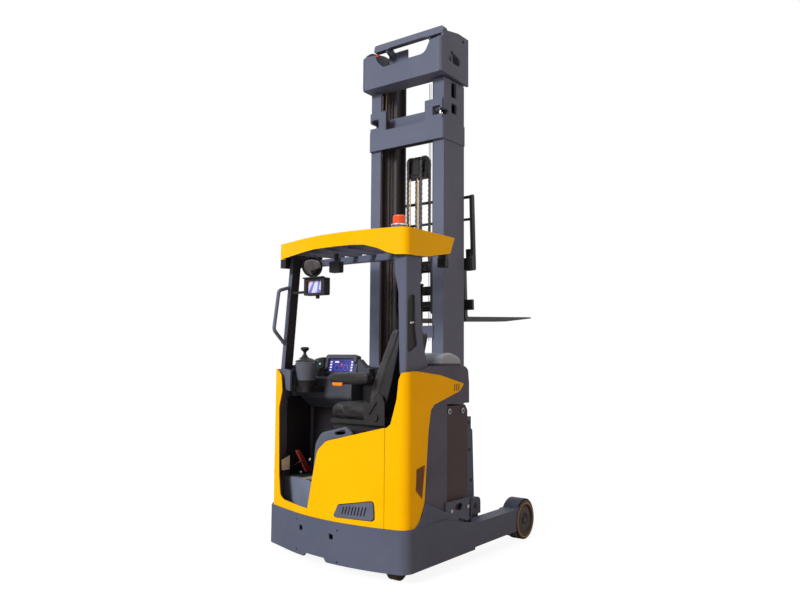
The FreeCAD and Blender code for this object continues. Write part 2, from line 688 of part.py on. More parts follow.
# left pillar leans forward
guard_bars.pad("YZ", -588, -548, [(86, 1284), (166, 1284), (242, 2125), (164, 2125)])
guard_bars.round(
    16, lambda at, along: abs(along.z) > 0.9 and at.y < 20 and at.x > 480 and at.z > 1300)
guard_bars.round(
    9, lambda at, along: abs(along.z) > 0.9 and abs(at.x + 588) < 0.5 and 1300 < at.z < 2000)

loose("grab_handle", tube([
    (-568, 146, 1876, 0), (-568, 36, 1846, 34), (-568, -6, 1562, 40), (-568, 100, 1466, 0)], 13))

# ---------------------------------------------------------------- cab lining and door trim
lining = piece("cab_lining")
lining.pad("XY", D.floor_top, 1300, rect(-554, 408, 554, 420))
lining.pad("YZ", -86, -74, [(20, 520), (410, 520), (410, 892), (20, 892)])
lining.pad("XY", 880, 892, [(-86, 20), (470, 20), (470, 410), (-86, 410)])
lining.pad("YZ", -594, -584, [(170, 520), (402, 520), (402, 1080), (170, 1080)])
trim = piece("door_trim")
trim.pad("XZ", -50, -28, [
    (-150, 400), (-127, 620, 200), (-108, 800, 80), (-60, 872, 60), (150, 924, 30), (204, 884, 10),
    (204, 868),
    (60, 838, 90), (-40, 760, 90), (-110, 400)])
trim.cut("XZ", -60, -20, [(56, 864, 8), (66, 884, 10), (142, 902, 16), (160, 882, 10), (120, 870, 10)])
trim.round(7, lambda at, along: at.y < -45)
# cap over the door frame's top and its inner edge
trim_cap = piece("door_cap")
trim_cap.pad("XZ", 68, 84, [
    (-584, 1266), (-540, 1244), (-512, 1138), (-470, 1130), (-470, 1270, 10), (-516, 1283, 10),
    (-584, 1283)])
trim_cap.pad("XZ", 82, 172, rect(-599, 1262, -517, 1283))

# ---------------------------------------------------------------- seat
seat_base = piece("seat_base")
seat_base.pad("XZ", 66, 394, rect(-52, 892, 392, 916, 6))
seat_base.pad("XZ", 84, 376, rect(-30, 912, 372, 938))
seat_base.pad("XZ", 58, 402, rect(-70, 934, 400, 962, 8))
for y in (44.0, 402.0):
    seat_base.pad("XZ", y - 5, y + 5, [
        (232, 936), (404, 936), (400, 1080, 20), (376, 1132, 30), (320, 1140, 30), (300, 1064, 20),
        (232, 1086, 10)])
seat_base.bar("Y", 28, 50, (330, 986), 22)
seat_base.pad("XZ", 30, 46, [(262, 1010, 8), (278, 1000, 8), (340, 1082, 8), (322, 1094, 8)])
cushion = piece("seat_cushion")
cushion.pad("XZ", 56, 394, [
    (-76, 966, 16), (228, 966, 6), (228, 1058, 20), (-30, 1072, 30), (-84, 1044, 26)])
cushion.round(22, lambda at, along: abs(at.y - 56) < 1 or abs(at.y - 394) < 1)
seat_back = piece("seat_back")
seat_back.pad("XZ", 58, 390, [
    (240, 968, 10), (372, 968, 20), (505, 1520, 30), (478, 1556, 24), (430, 1540, 40),
    (296, 1270, 90), (262, 1180, 60)])
seat_back.round(20, lambda at, along: abs(at.y - 58) < 1 or abs(at.y - 390) < 1)
armrest = piece("armrest")
armrest.pad("XZ", -28, 34, [
    (-66, 1232, 16), (-40, 1262, 30), (90, 1277, 200), (315, 1277, 10), (318, 1196, 30),
    (210, 1182, 60), (40, 1184, 60)])
armrest.round(12, lambda at, along: abs(at.y + 28) < 1 or abs(at.y - 34) < 1)
armrest.bar("Y", 30, 54, (296, 1225), 16)

# ---------------------------------------------------------------- controls
steering_pod = piece("steering_pod", x=-408, y=170)
steering_pod.turn("XZ", "V", [(0, 1150), (58, 1150), (62, 1196, 12), (79, 1290), (82, 1328), (0, 1328)])
steering_pod.pad("XY", 1120, 1156, [(-80, -40, 20), (50, -60, 40), (62, 60, 30), (60, 118), (-80, 118)])
steering_wheel = piece("steering_wheel", x=-408, y=170)
steering_wheel.turn("XZ", "V", [(0, 1334), (84, 1334), (84, 1341), (40, 1360), (18, 1372), (0, 1372)])
steering_wheel.bar("Z", 1368, 1408, (-28, 6), 9)
steering_wheel.bar("Z", 1350, 1378, (-28, 6), 16)
steering_wheel.bar("Z", 1404, 1412, (-28, 6), 23)
steering_wheel.bar("Z", 1411, 1434, (-28, 6), 29)
steering_wheel.bar("Z", 1433, 1442, (-28, 6), 23)
dash = piece("dashboard")
dash.pad("YZ", -583, -92, [(290, 1080, 30), (404, 1000), (404, 1232), (350, 1234), (296, 1226, 20)])
dash.pad("XY", 1090, 1226, [(-583, 180, 10), (-545, 190, 20), (-510, 300), (-583, 300)])
dash.pad("XZ", 330, 400, [(-486, 1230), (-484, 1356, 20), (-396, 1372, 10), (-396, 1230)])
dash.pad("XZ", 350, 400, [
    (-96, 1200), (-86, 1210), (-86, 1366, 8), (-12, 1296, 10), (20, 1290), (20, 1200)])
display = piece("display", x=-238, y=362, z=1314, tilt=as_size(-12))
display.pad("XZ", -8, 24, rect(-146, -70, 146, 72, 18))
display.pad("XZ", -26, -6, rect(-146, -70, 146, 72, 18), rect(-122, -56, 118, 44, 6))
display.cut("XZ", -30, -10, [(-150, -80), (150, -80), (150, 20), (-150, -40)])
pedals = piece("pedals")
pedals.pad("YZ", -556, -536, [(84, 556, 3), (100, 552, 3), (178, 664, 3), (162, 676, 3)])
pedals.pad("YZ", -552, -540, [(80, 521), (180, 521), (180, 534), (130, 556), (96, 560)])
pedals.pad("YZ", -520, -478, [(138, 704, 4), (330, 521), (346, 521), (340, 552), (168, 716, 4)])
mirror = piece("mirror", x=-398, y=190, z=2034, tilt=as_size(-38))
mirror.turn("XZ", "V", [(0, -40), (40, -34, 60), (72, -14, 20), (80, -4), (80, 8), (0, 22)])
mirror.bar("Z", 10, 84, (0, 0), 8)
monitor = piece("monitor", x=-300, y=150, z=1868)
monitor.pad("XZ", -14, 26, rect(-98, -62, 98, 62, 10))
monitor.pad("XZ", -34, -12, rect(-98, -62, 98, 62, 10), rect(-72, -46, 66, 40, 6))
monitor.pad("XZ", 0, 12, rect(-247, -42, -80, -24))
monitor.bar("Z", -84, -58, (0, 6), 14)
lamps = piece("work_lamps")
lamps.pad("XZ", 450, 490, rect(524, 1978, 588, 2050, 10))
lamps.bar("Z", 2046, 2064, (556, 468), 10)
lamps.pad("XZ", 186, 236, rect(-222, 1966, -130, 2046, 10))
lamps.pad("XZ", 206, 216, rect(-192, 2040, -160, 2104))
beacon = piece("beacon", x=460, y=74)
beacon.turn("XZ", "V", [
    (0, 2186), (64, 2186), (64, 2198, 4), (54, 2204), (54, 2224, 3), (49, 2228), (49, 2278, 4),
    (40, 2292, 6), (0, 2292)])

# ---------------------------------------------------------------- battery
battery = piece("battery")
battery.pad("YZ", -594, 594, [
    (BAY + 6, D.tray_top), (D.bay_front, D.tray_top), (D.bay_front, D.battery_top - 40),
    (D.bay_front - 30, D.battery_top),
    (BAY + 6, D.battery_top)])
for hand, side in SIDES:
    for y, z in ((491, 1015), (656, 1012)):
        battery.cut("YZ", *span(side, 580, 600), ("circle", (y, z), 13))
        battery.pad("YZ", *span(side, 590, 600), ("circle", (y, z), 19), ("circle", (y, z), 13))
retainers = piece("battery_retainers")
for hand, side in SIDES:
    retainers.pad("YZ", *span(side, 615, 627), [
        (404, 366, 10), (688, 270, 14), (700, 429, 4), (404, 431, 4)])
    retainers.cut("YZ", *span(side, 605, 635), [
        (514, 372, 12), (596, 358, 14), (610, 392, 12), (590, 408, 12), (524, 404, 12)])
    for y, z in ((471, 368), (674, 369)):
        retainers.bar("X", *span(side, 602, 634), (y, z), 7)

# ---------------------------------------------------------------- outer stage of the mast
REAR = num(D.mast_rear)
MAST_FRONT = REAR + num(D.mast_depth)
LOW = num(D.outer_low)
OUT = num(D.outer_half)


def rail(side, rear, front, tips, web, flange):
    """Plan of a rail: a web between two x, and flanges between the inner and outer tips."""
    inner_tip, outer_tip = tips
    web_in, web_out = web
    points = [(inner_tip, rear), (outer_tip, rear)]
    if outer_tip != web_out:
        points += [
            (outer_tip, rear + flange), (web_out, rear + flange), (web_out, front - flange),
            (outer_tip, front - flange)]
    points += [
        (outer_tip, front), (inner_tip, front), (inner_tip, front - flange),
        (web_in, front - flange),
               (web_in, rear + flange), (inner_tip, rear + flange)]
    if side < 0:
        points = [(-x, y) for x, y in reversed(points)]
    return points


def wrap(body, low, high, front, proud=6.0, plate=12.0):
    """A tie beam: a plate behind both channels with cheeks along their sides."""
    rear = REAR - 10 - plate
    out = OUT + proud
    body.pad("XY", low, high, [
        (-out, rear, 14), (out, rear, 14), (out, front), (OUT, front), (OUT, REAR), (250, REAR),
        (250, REAR - 10),
        (-250, REAR - 10), (-250, REAR), (-OUT, REAR), (-OUT, front), (-out, front)])


# two channels open inward, with tie beams that wrap round their rear corners
outer_mast = piece("mast_outer")
for hand, side in SIDES:
    channel = rail(side, REAR, MAST_FRONT, (250.0, OUT), (OUT - 20, OUT), 20.0)
    outer_mast.pad("XY", LOW, D.outer_top, channel)
wrap(outer_mast, D.beam_low, D.beam_high, MAST_FRONT)
outer_mast.pad("XZ", REAR - 12, REAR + 1, rect(118, 1517, 262, 1606))
wrap(outer_mast, 120, 262, REAR + 60, proud=3.0)
for hand, side in SIDES:
    x0, x1 = span(side, 186, 340)
    outer_mast.pad("XZ", REAR - 22, REAR - 10, rect(x0, num(D.beam_high) - 20, x1, 3300))
    outer_mast.pad("XZ", REAR - 12, REAR + 2, side_box(side, 246, 340, num(D.beam_high) - 6, 3300))
    outer_mast.cut("XZ", REAR - 30, REAR + 21, side_box(side, 256, OUT - 20, 3176, 3244))
    outer_mast.cut("XZ", REAR - 30, REAR + 60, side_box(side, OUT - 30, OUT + 10, 3176, 3222))
    outer_mast.cut("YZ", *span(side, OUT - 30, OUT + 10), rect(898, 3334, 966, 3452, 12))
    outer_mast.cut("YZ", *span(side, OUT - 30, OUT + 10), rect(900, 3212, 972, 3290, 12))

BARREL_RADIUS = 26.0
BARREL_BORE = 18.5
BARREL_FOOT = 262.0
BORE_FOOT = 300.0
cylinders = []
for hand, side in SIDES:
    x, y = side * num(D.lift_x), num(D.lift_y)
    barrel = Part.makeCylinder(BARREL_RADIUS, 2700, Vec(x, y, BARREL_FOOT))
    bore = Part.makeCylinder(BARREL_BORE, 2680, Vec(x, y, BORE_FOOT))
    cylinders.append(barrel.cut(bore))
loose("lift_cylinders", Part.Compound(cylinders))

# ---------------------------------------------------------------- reach carriage
# It carries the outer stage; its arms run back in the legs and in the chassis on rollers.
carriage = piece("reach_carriage")
for hand, side in SIDES:
    carriage.pad("YZ", *span(side, 400, 424), [
        (806, 80), (1096, 80, 20), (1092, 398), (1071, 840), (1050, 856), (1050, 942), (806, 942)])
    carriage.pad("XZ", 840, 1060, side_box(side, 348.5, 402, 120, 230))
    carriage.pad("XZ", 840, 1030, side_box(side, 348.5, 402, 780, 860))
    carriage.pad("YZ", *span(side, 423, 500), [
        (922, 252), (1058, 252), (1058, 370, 40), (922, 370, 40)])
    carriage.pad("YZ", *span(side, 444, 460), [
        (506, 110, 16), (1090, 110, 16), (1090, 300), (922, 300), (900, 218, 30), (506, 218, 16)])
    for y in (D.roller_rear_y, D.roller_front_y):
        carriage.bar("X", *span(side, 458, 610), (y, 164), 18)
        carriage.bar("X", *span(side, 540, 606), (y, 164), 60)
    for low_z, high_z in ((116, 134), (196, 214)):
        carriage.pad("XZ", 940, 1070, side_box(side, 422, 446, low_z, high_z))
carriage.pad("XZ", 806, 836, rect(-402, 80, 402, 94))

ram = piece("reach_cylinder", x=D.reach_x, z=D.reach_z)
ram.bar("Y", 120, 752, (0, 0), 34, 21)
ram.bar("Y", 110, 122, (0, 0), 34)
ram.pad("XZ", 60, 112, rect(-14, -24, 14, 24))
ram_rod = piece("reach_rod", x=D.reach_x, z=D.reach_z)
ram_rod.bar("Y", 150, 776, (0, 0), 20)

# ---------------------------------------------------------------- middle stage
MID = num(D.middle_half)
MID_REAR = num(D.middle_rear)
MID_FRONT = MAST_FRONT - 26
middle_mast = piece("mast_middle")
for hand, side in SIDES:
    beam = rail(side, MID_REAR, MID_FRONT, (225.0, MID), (262.0, 274.0), 18.0)
    middle_mast.pad("XY", LOW + 14, D.head_low, beam)
for low_z, high_z in ((130, 250), (3010, 3130)):
    middle_mast.pad("XZ", MID_REAR, MID_REAR + 12, rect(-264, low_z, 264, high_z))

# pulley head on top of the middle stage, open to the front for the fork carriage
HEAD = num(D.head_half)
HEAD_REAR = num(D.head_rear)
HEAD_FRONT = num(D.head_front)
HEAD_LOW = num(D.head_low)
mast_head = piece("mast_head")
mast_head.pad("XY", HEAD_LOW - 8, 3846, [
    (-HEAD - 12, HEAD_REAR, 30), (HEAD + 12, HEAD_REAR, 30), (HEAD + 12, HEAD_FRONT),
    (HEAD - 8, HEAD_FRONT),
    (HEAD - 8, HEAD_REAR + 8, 24), (-HEAD + 8, HEAD_REAR + 8, 24), (-HEAD + 8, HEAD_FRONT),
    (-HEAD - 12, HEAD_FRONT)])
# top of the rear wall dips in a wide U, the cheeks keep their crest
mast_head.cut("XZ", HEAD_REAR - 10, HEAD_REAR + 34, [
    (HEAD + 40, 3762), (336, 3740, 30), (272, 3736, 30), (228, 3656, 50), (190, 3643, 60),
    (-100, 3630, 60), (-172, 3630, 40), (-236, 3690, 50), (-246, 3742, 10), (-HEAD - 40, 3752),
    (-HEAD - 40, 3900), (HEAD + 40, 3900)])
mast_head.cut("YZ", LEFT_OF, RIGHT_OF, [
    (HEAD_REAR - 20, 3740), (HEAD_REAR, 3752, 30), (799, 3810, 60), (960, D.head_high, 90),
    (HEAD_FRONT + 10, D.head_high),
    (HEAD_FRONT + 10, 3900), (HEAD_REAR - 20, 3900)])
mast_head.cut("YZ", LEFT_OF, RIGHT_OF, [
    (HEAD_REAR - 20, HEAD_LOW + 6), (HEAD_REAR, HEAD_LOW + 6), (HEAD_FRONT + 10, HEAD_LOW - 8),
    (HEAD_FRONT + 10, HEAD_LOW - 20),
    (HEAD_REAR - 20, HEAD_LOW - 20)])
for hand, side in SIDES:
    mast_head.cut("YZ", *span(side, HEAD - 20, HEAD + 20), [
        (824, 3652, 16), (868, 3674, 10), (984, 3640, 30), (976, 3580, 30), (832, 3590, 16)])
    mast_head.cut("YZ", *span(side, HEAD - 20, HEAD + 20), ("circle", (1025, 3800), 14))
    ledge = side_box(side, 262, HEAD - 2, HEAD_REAR, HEAD_FRONT - 4)
    mast_head.pad("XY", HEAD_LOW, HEAD_LOW + 12, ledge)
    # shield inside the cheek's slot, with a bar across the slot
    mast_head.pad("YZ", *span(side, 300, 312), rect(790, HEAD_LOW + 4, 1020, 3712))
    mast_head.pad("YZ", *span(side, 311, HEAD - 2), rect(880, 3560, 900, 3700))
mast_head.pad("XY", HEAD_LOW, HEAD_LOW + 12, rect(-HEAD + 2, HEAD_REAR, HEAD - 2, 874))
mast_head.pad("YZ", -HEAD - 28, -HEAD - 11, [
    (HEAD_REAR + 16, HEAD_LOW + 4, 20), (HEAD_FRONT - 10, HEAD_LOW - 4, 20),
    (HEAD_FRONT - 10, 3826, 30), (960, 3826, 80),
    (HEAD_REAR + 16, 3756, 30)])
# chain pulleys behind the inner stage, each between two cheeks
PULLEY_CHEEK = [(800, HEAD_LOW + 10), (876, HEAD_LOW + 10), (862, 3596, 20), (814, 3596, 20)]
for hand, side in SIDES:
    mast_head.pad("YZ", *span(side, 196, 226), ("circle", (838, 3570), 54))
    for near in (176, 226):
        mast_head.pad("YZ", *span(side, near, near + 20), PULLEY_CHEEK)

ROD_RADIUS = 17.5
ROD_FOOT = 305.0
CHAIN_X = 211.0
rods = []
chains = []
for hand, side in SIDES:
    foot = Vec(side * num(D.lift_x), num(D.lift_y), ROD_FOOT)
    rods.append(Part.makeCylinder(ROD_RADIUS, HEAD_LOW - ROD_FOOT, foot))
    chains.append(strand(side * CHAIN_X, 895, 300, HEAD_LOW - 4, pitch=128.0))
loose("lift_rods", Part.Compound(rods))
loose("lift_chains", Part.Compound(chains))

# ---------------------------------------------------------------- inner stage
INN = num(D.inner_half)
INNER_REAR = num(D.inner_rear)
INNER_FRONT = MAST_FRONT - 50
inner_mast = piece("mast_inner")
for hand, side in SIDES:
    beam = rail(side, INNER_REAR, INNER_FRONT, (172.0, INN), (202.0, 214.0), 16.0)
    inner_mast.pad("XY", LOW + 24, 3812, beam)
for low_z, high_z in ((170, 290), (3650, 3740)):
    inner_mast.pad("XZ", INNER_REAR, INNER_REAR + 12, rect(-210, low_z, 210, high_z))
for hand, side in SIDES:
    inner_mast.pad("YZ", *span(side, 196, 214), [
        (806, 3856), (806, 3790, 20), (INNER_REAR + 4, 3740), (INNER_REAR + 4, 3812), (846, 3856)])
inner_mast.pad("XZ", 796, 846, [
    (-328, 3804, 10), (-190, 3806), (-160, 3812), (160, 3812), (190, 3806), (332, 3806, 16),
    (343, 3836, 10), (332, D.mast_top, 16),
    (-318, D.mast_top, 20)])

inner_mast.pad("XZ", INNER_REAR, INNER_REAR + 12, rect(-204, 3735, -70, 3812))

# free-lift cylinder in the middle of the inner stage, with its rod, pulleys and chains
LIFT_MID = (INNER_REAR + INNER_FRONT) / 2
free_cylinder = piece("free_lift_cylinder", y=LIFT_MID)
free_cylinder.bar("Z", 232, 1926, (0, 0), 36, 23)
free_cylinder.bar("Z", 222, 236, (0, 0), 36)
free_cylinder.pad("XY", 200, 226, rect(-60, INNER_REAR + 12 - LIFT_MID, 60, 40))
free_cylinder.bar("Z", 1924, 1940, (0, 0), 42, 20.5)
free_rod = piece("free_lift_rod", y=LIFT_MID)
PULLEY_X = num(D.pulley_x)
PULLEY_Z = num(D.pulley_z)
PULLEY_R = num(D.pulley_radius)
YOKE = [
    (-34, PULLEY_Z - 96, 10), (34, PULLEY_Z - 96, 10), (36, PULLEY_Z + 30, 34),
    (-36, PULLEY_Z + 30, 34)]
free_rod.bar("Z", 1060, PULLEY_Z - 100, (0, 0), 19)
free_rod.bar("Z", PULLEY_Z - 124, PULLEY_Z - 100, (0, 0), 30)
free_rod.pad("XY", PULLEY_Z - 112, PULLEY_Z - 84, rect(-98, -34, 98, 34, 12))
free_rod.pad("YZ", -28, 28, [
    (-40, PULLEY_Z - 90), (40, PULLEY_Z - 90), (40, PULLEY_Z + 60, 30), (-40, PULLEY_Z + 60, 30)])
for hand, side in SIDES:
    for near in (PULLEY_X - 26, PULLEY_X + 18):
        free_rod.pad("YZ", *span(side, near, near + 8), YOKE)
free_rod.bar("X", -PULLEY_X - 24, PULLEY_X + 24, (0, D.pulley_z), 14)
for hand, side in SIDES:
    free_rod.bar("X", *span(side, PULLEY_X - 15, PULLEY_X + 15), (0, D.pulley_z), PULLEY_R - 6)
    for near in (PULLEY_X - 15, PULLEY_X + 12):
        free_rod.bar("X", *span(side, near, near + 3), (0, D.pulley_z), PULLEY_R)

CHAIN_Y = PULLEY_R - 2
loops = []
for hand, side in SIDES:
    hub = Vec(side * PULLEY_X - 10, LIFT_MID, PULLEY_Z)
    arch = Part.makeCylinder(CHAIN_Y + 3, 20, hub, Vec(1, 0, 0))
    arch = arch.cut(Part.makeCylinder(CHAIN_Y - 3, 20, hub, Vec(1, 0, 0)))
    below = Vec(side * PULLEY_X - 20, LIFT_MID - 100, PULLEY_Z - 100)
    arch = arch.cut(Part.makeBox(40, 200, 100, below))
    back_run = strand(side * PULLEY_X, LIFT_MID - CHAIN_Y, 1960, PULLEY_Z)
    front_run = strand(side * PULLEY_X, LIFT_MID + CHAIN_Y, 2150, PULLEY_Z)
    loops.append(back_run.fuse([arch, front_run]))
loose("free_lift_chains", Part.Compound(loops))

# ---------------------------------------------------------------- lift carriage and forks
PIVOT_Y = num(D.fork_pivot_y)
PIVOT_Z = num(D.fork_pivot_z)
lift_carriage = piece("lift_carriage")
for hand, side in SIDES:
    lift_carriage.pad("YZ", *span(side, 140, 158), [
        (930, 1700, 20), (1122, 1720, 30), (1122, 1800, 30), (1098, 1840), (1098, 2150, 20),
        (930, 2150, 20)])
    for z in (1770.0, 2080.0):
        lift_carriage.bar("X", *span(side, 156, 196), (LIFT_MID, z), 42)
    # chain anchors stand just in front of the front strands
    lift_carriage.pad("XZ", 1034, 1080, side_box(side, 42, 82, 2080, 2120))
for z in (1860.0, 2060.0):
    lift_carriage.pad("XZ", 1076, 1096, rect(-145, z, 145, z + 70))
lift_carriage.bar("X", -186, 186, (D.fork_pivot_y, D.fork_pivot_z), 14)

fork_frame = piece("fork_frame", y=D.fork_pivot_y, z=D.fork_pivot_z, tilt=D.fork_tilt)
FACE = num(D.fork_face) - 38 - PIVOT_Y      # rear face of the shanks, level frame
for low_z, high_z in ((-30, 50), (280, 370)):
    fork_frame.pad("XZ", FACE - 27, FACE - 1, rect(-382, low_z, 382, high_z))
for hand, side in SIDES:
    fork_frame.pad("YZ", *span(side, 163, 181), [
        (-22, -22, 20), (FACE - 15, -30), (FACE - 15, 370), (FACE - 27, 370), (FACE - 27, 30),
        (-22, 22, 20)])
    fork_frame.cut("YZ", *span(side, 150, 190), ("circle", (0, 0), 14.6))
    # posts of the load backrest, on plates that reach back to the bars
    fork_frame.pad("YZ", *span(side, 364, 388), [
        (FACE - 26, 282, 6), (FACE + 34, 268, 20), (FACE + 34, 860, 18), (FACE - 4, 860, 18),
        (FACE - 4, 400, 20), (FACE - 26, 372)])
    fork_frame.pad("XZ", FACE - 1, FACE + 13, side_box(side, 320, 366, 272, 440))
for low_z, high_z in ((664, 682), (836, 856)):
    fork_frame.pad("XZ", FACE + 14, FACE + 32, rect(-386, low_z, 386, high_z))
for x in (-120.0, 120.0):
    fork_frame.pad("XZ", FACE + 14, FACE + 32, rect(x - 7, 280, x + 7, 846))
    fork_frame.pad("XZ", FACE - 4, FACE + 16, rect(x - 7, 280, x + 7, 330))

forks = piece("forks", y=D.fork_pivot_y, z=D.fork_pivot_z, tilt=D.fork_tilt)
TOP = num(D.fork_level) - PIVOT_Z
THICK = num(D.fork_thick)
TIP = FACE + THICK + num(D.fork_length)
FORK_HALF = num(D.fork_width) / 2
for hand, side in SIDES:
    middle_x = side * num(D.fork_x)
    forks.pad("YZ", middle_x - FORK_HALF, middle_x + FORK_HALF, [
        (FACE, TOP - THICK, 40), (TIP - 460, TOP - THICK), (TIP, TOP - 12, 5), (TIP, TOP, 2),
        (FACE + THICK, TOP, 14),
        (FACE + THICK, 370, 10), (FACE, 370)])

doc.recompute()

# ---------------------------------------------------------------- checks and files
for obj in doc.Objects:
    if "Invalid" in obj.State or "Error" in obj.State:
        raise RuntimeError("%s did not compute: %s" % (obj.Name, obj.State))
os.makedirs("parts", exist_ok=True)
total = 0.0
for label, made in PIECES.items():
    source = made.body if isinstance(made, Piece) else made
    shape = source.Shape
    if shape.isNull() or not shape.isValid() or not shape.Solids:
        raise RuntimeError("%s has no valid solid" % label)
    total += shape.Volume
    shape.exportStep("parts/%s.step" % label)
    print("%-20s %3d solids  %8.1f cm3" % (label, len(shape.Solids), shape.Volume / 1000))
print("pieces %d, volume %.1f dm3" % (len(PIECES), total / 1e6))
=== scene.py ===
# %% [markdown]
# # Dressing an electric reach truck
# The truck's solids come packed from the construction model and are never moved here.
# This lesson gives every one of them a finish, lays soft upholstery over the seat, and adds
# the small things that belong to looks and not to construction: bolts, louvre slats, chain
# links, the beacon's lens, a display page and the seams of the upholstery.
# All places are worked out in the construction's own millimetres and turned into metres once.

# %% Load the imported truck
import math

import bmesh
import bpy
from mathutils import Matrix, Vector
from mathutils.bvhtree import BVHTree


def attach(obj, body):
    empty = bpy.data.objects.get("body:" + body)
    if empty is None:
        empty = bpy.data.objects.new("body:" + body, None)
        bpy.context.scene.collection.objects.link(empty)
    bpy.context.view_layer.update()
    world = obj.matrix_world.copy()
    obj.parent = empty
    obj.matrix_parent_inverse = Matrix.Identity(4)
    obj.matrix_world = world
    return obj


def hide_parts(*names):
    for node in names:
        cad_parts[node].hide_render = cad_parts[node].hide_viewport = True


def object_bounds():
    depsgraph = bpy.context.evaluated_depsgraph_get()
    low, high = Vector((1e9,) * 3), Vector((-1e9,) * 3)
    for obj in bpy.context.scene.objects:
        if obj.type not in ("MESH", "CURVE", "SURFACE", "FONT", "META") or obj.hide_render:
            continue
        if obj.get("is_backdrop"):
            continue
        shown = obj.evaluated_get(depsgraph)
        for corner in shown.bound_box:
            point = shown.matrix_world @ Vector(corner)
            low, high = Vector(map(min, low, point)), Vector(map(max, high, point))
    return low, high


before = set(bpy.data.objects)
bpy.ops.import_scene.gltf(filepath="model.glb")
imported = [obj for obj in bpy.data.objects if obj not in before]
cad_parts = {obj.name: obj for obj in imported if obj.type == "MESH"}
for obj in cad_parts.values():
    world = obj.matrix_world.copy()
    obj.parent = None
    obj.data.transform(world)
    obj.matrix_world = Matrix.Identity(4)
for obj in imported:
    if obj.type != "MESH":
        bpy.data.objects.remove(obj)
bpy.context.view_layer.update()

# %% [markdown]
# The construction measures from the truck's tail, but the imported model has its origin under
# the middle of the truck.  One small helper carries a place from one to the other, so that
# the numbers below can be compared with the construction's own.

# %% A place on the truck
TAIL_TO_MIDDLE = 1085.755


def spot(x, y, z):
    """A place in the construction's millimetres, in metres from the model's origin."""
    return Vector((x / 1000, (y - TAIL_TO_MIDDLE) / 1000, z / 1000))


print("the load wheel's axle is at", tuple(spot(585, 1502, 143)))

# %% [markdown]
# ## Finishes
# Real paint is never one flat colour.  It has a faint orange peel, patches that are a little
# lighter or darker, and a roughness that changes from place to place.  All three come from
# noise on Object coordinates: those are the truck's own metres, so the grain has the right
# size on every panel, and it stays in place when a joint moves.  A Bevel node rounds the
# light on the edges by a millimetre or two, as a pressed or welded edge is.


# %% Helpers for finishes
def new_finish(name):
    """An empty Principled finish with its nodes, links and Object coordinates."""
    finish = bpy.data.materials.new(name)
    finish.use_nodes = True
    nodes, links = finish.node_tree.nodes, finish.node_tree.links
    surface = nodes["Principled BSDF"]
    place = nodes.new("ShaderNodeTexCoord").outputs["Object"]
    return finish, nodes, links, surface, place


def feed(links, socket, value):
    """Links the value to the socket if it is a socket too, or else sets it."""
    if hasattr(value, "links"):
        links.new(value, socket)
    else:
        socket.default_value = value


def maths(nodes, links, operation, first, second):
    """A Math node on two values; each is a number or a socket."""
    node = nodes.new("ShaderNodeMath")
    node.operation = operation
    feed(links, node.inputs[0], first)
    feed(links, node.inputs[1], second)
    return node.outputs[0]


def parts_of(nodes, links, vector):
    """The X, Y and Z of a vector, by name."""
    split = nodes.new("ShaderNodeSeparateXYZ")
    links.new(vector, split.inputs[0])
    return split.outputs


def noise(nodes, links, place, scale, detail, stretch=(1, 1, 1)):
    """A noise pattern of the given scale, stretched along the axes."""
    texture = nodes.new("ShaderNodeTexNoise")
    texture.inputs["Scale"].default_value = scale
    texture.inputs["Detail"].default_value = detail
    if stretch != (1, 1, 1):
        mapping = nodes.new("ShaderNodeMapping")
        mapping.inputs["Scale"].default_value = stretch
        links.new(place, mapping.inputs["Vector"])
        place = mapping.outputs["Vector"]
    links.new(place, texture.inputs["Vector"])
    return texture.outputs["Fac"]


def spread(nodes, links, value, low, high, out_low, out_high):
    """The value's range from low to high, spread to another range."""
    remap = nodes.new("ShaderNodeMapRange")
    ends = {"From Min": low, "From Max": high, "To Min": out_low, "To Max": out_high}
    for socket, number in ends.items():
        remap.inputs[socket].default_value = number
    links.new(value, remap.inputs["Value"])
    return remap.outputs["Result"]


def blend_colours(nodes, links, factor, first, second):
    """Two colours mixed by a factor; each is a colour or a socket."""
    mix = nodes.new("ShaderNodeMix")
    mix.data_type = "RGBA"
    links.new(factor, mix.inputs["Factor"])
    for socket, colour in ((mix.inputs[6], first), (mix.inputs[7], second)):
        feed(links, socket, colour if hasattr(colour, "links") else (*colour, 1))
    return mix.outputs[2]


def shade(colour, factor, lift=0.0):
    """A colour made darker or lighter, and white at most."""
    return tuple(min(1.0, part * factor + lift) for part in colour)


def mottled(nodes, links, pattern, darker, lighter):
    """Two tones of one colour, laid in the patches of a noise pattern."""
    patches = spread(nodes, links, pattern, 0.35, 0.65, 0, 1)
    return blend_colours(nodes, links, patches, darker, lighter)


def vary_roughness(nodes, links, surface, pattern, low, high):
    """Roughness that a noise pattern moves from low to high."""
    varied = spread(nodes, links, pattern, 0.3, 0.7, low, high)
    links.new(varied, surface.inputs["Roughness"])


def relief(nodes, links, height, distance, strength, under=None):
    """A bump of the given depth in metres, over an earlier normal if there is one."""
    bump = nodes.new("ShaderNodeBump")
    bump.inputs["Distance"].default_value = distance
    bump.inputs["Strength"].default_value = strength
    links.new(height, bump.inputs["Height"])
    if under is not None:
        links.new(under, bump.inputs["Normal"])
    return bump.outputs["Normal"]


def soft_edge(nodes, radius):
    """Light that rounds the edges by a radius in metres."""
    edge = nodes.new("ShaderNodeBevel")
    edge.samples = 3
    edge.inputs["Radius"].default_value = radius
    return edge.outputs["Normal"]


def orange_peel(nodes, links, place, depth, strength, edge):
    """The fine relief of sprayed paint, over edges rounded by a radius in metres."""
    peel = noise(nodes, links, place, 620, 2)
    return relief(nodes, links, peel, depth, strength, soft_edge(nodes, edge))


print("finish helpers are ready")


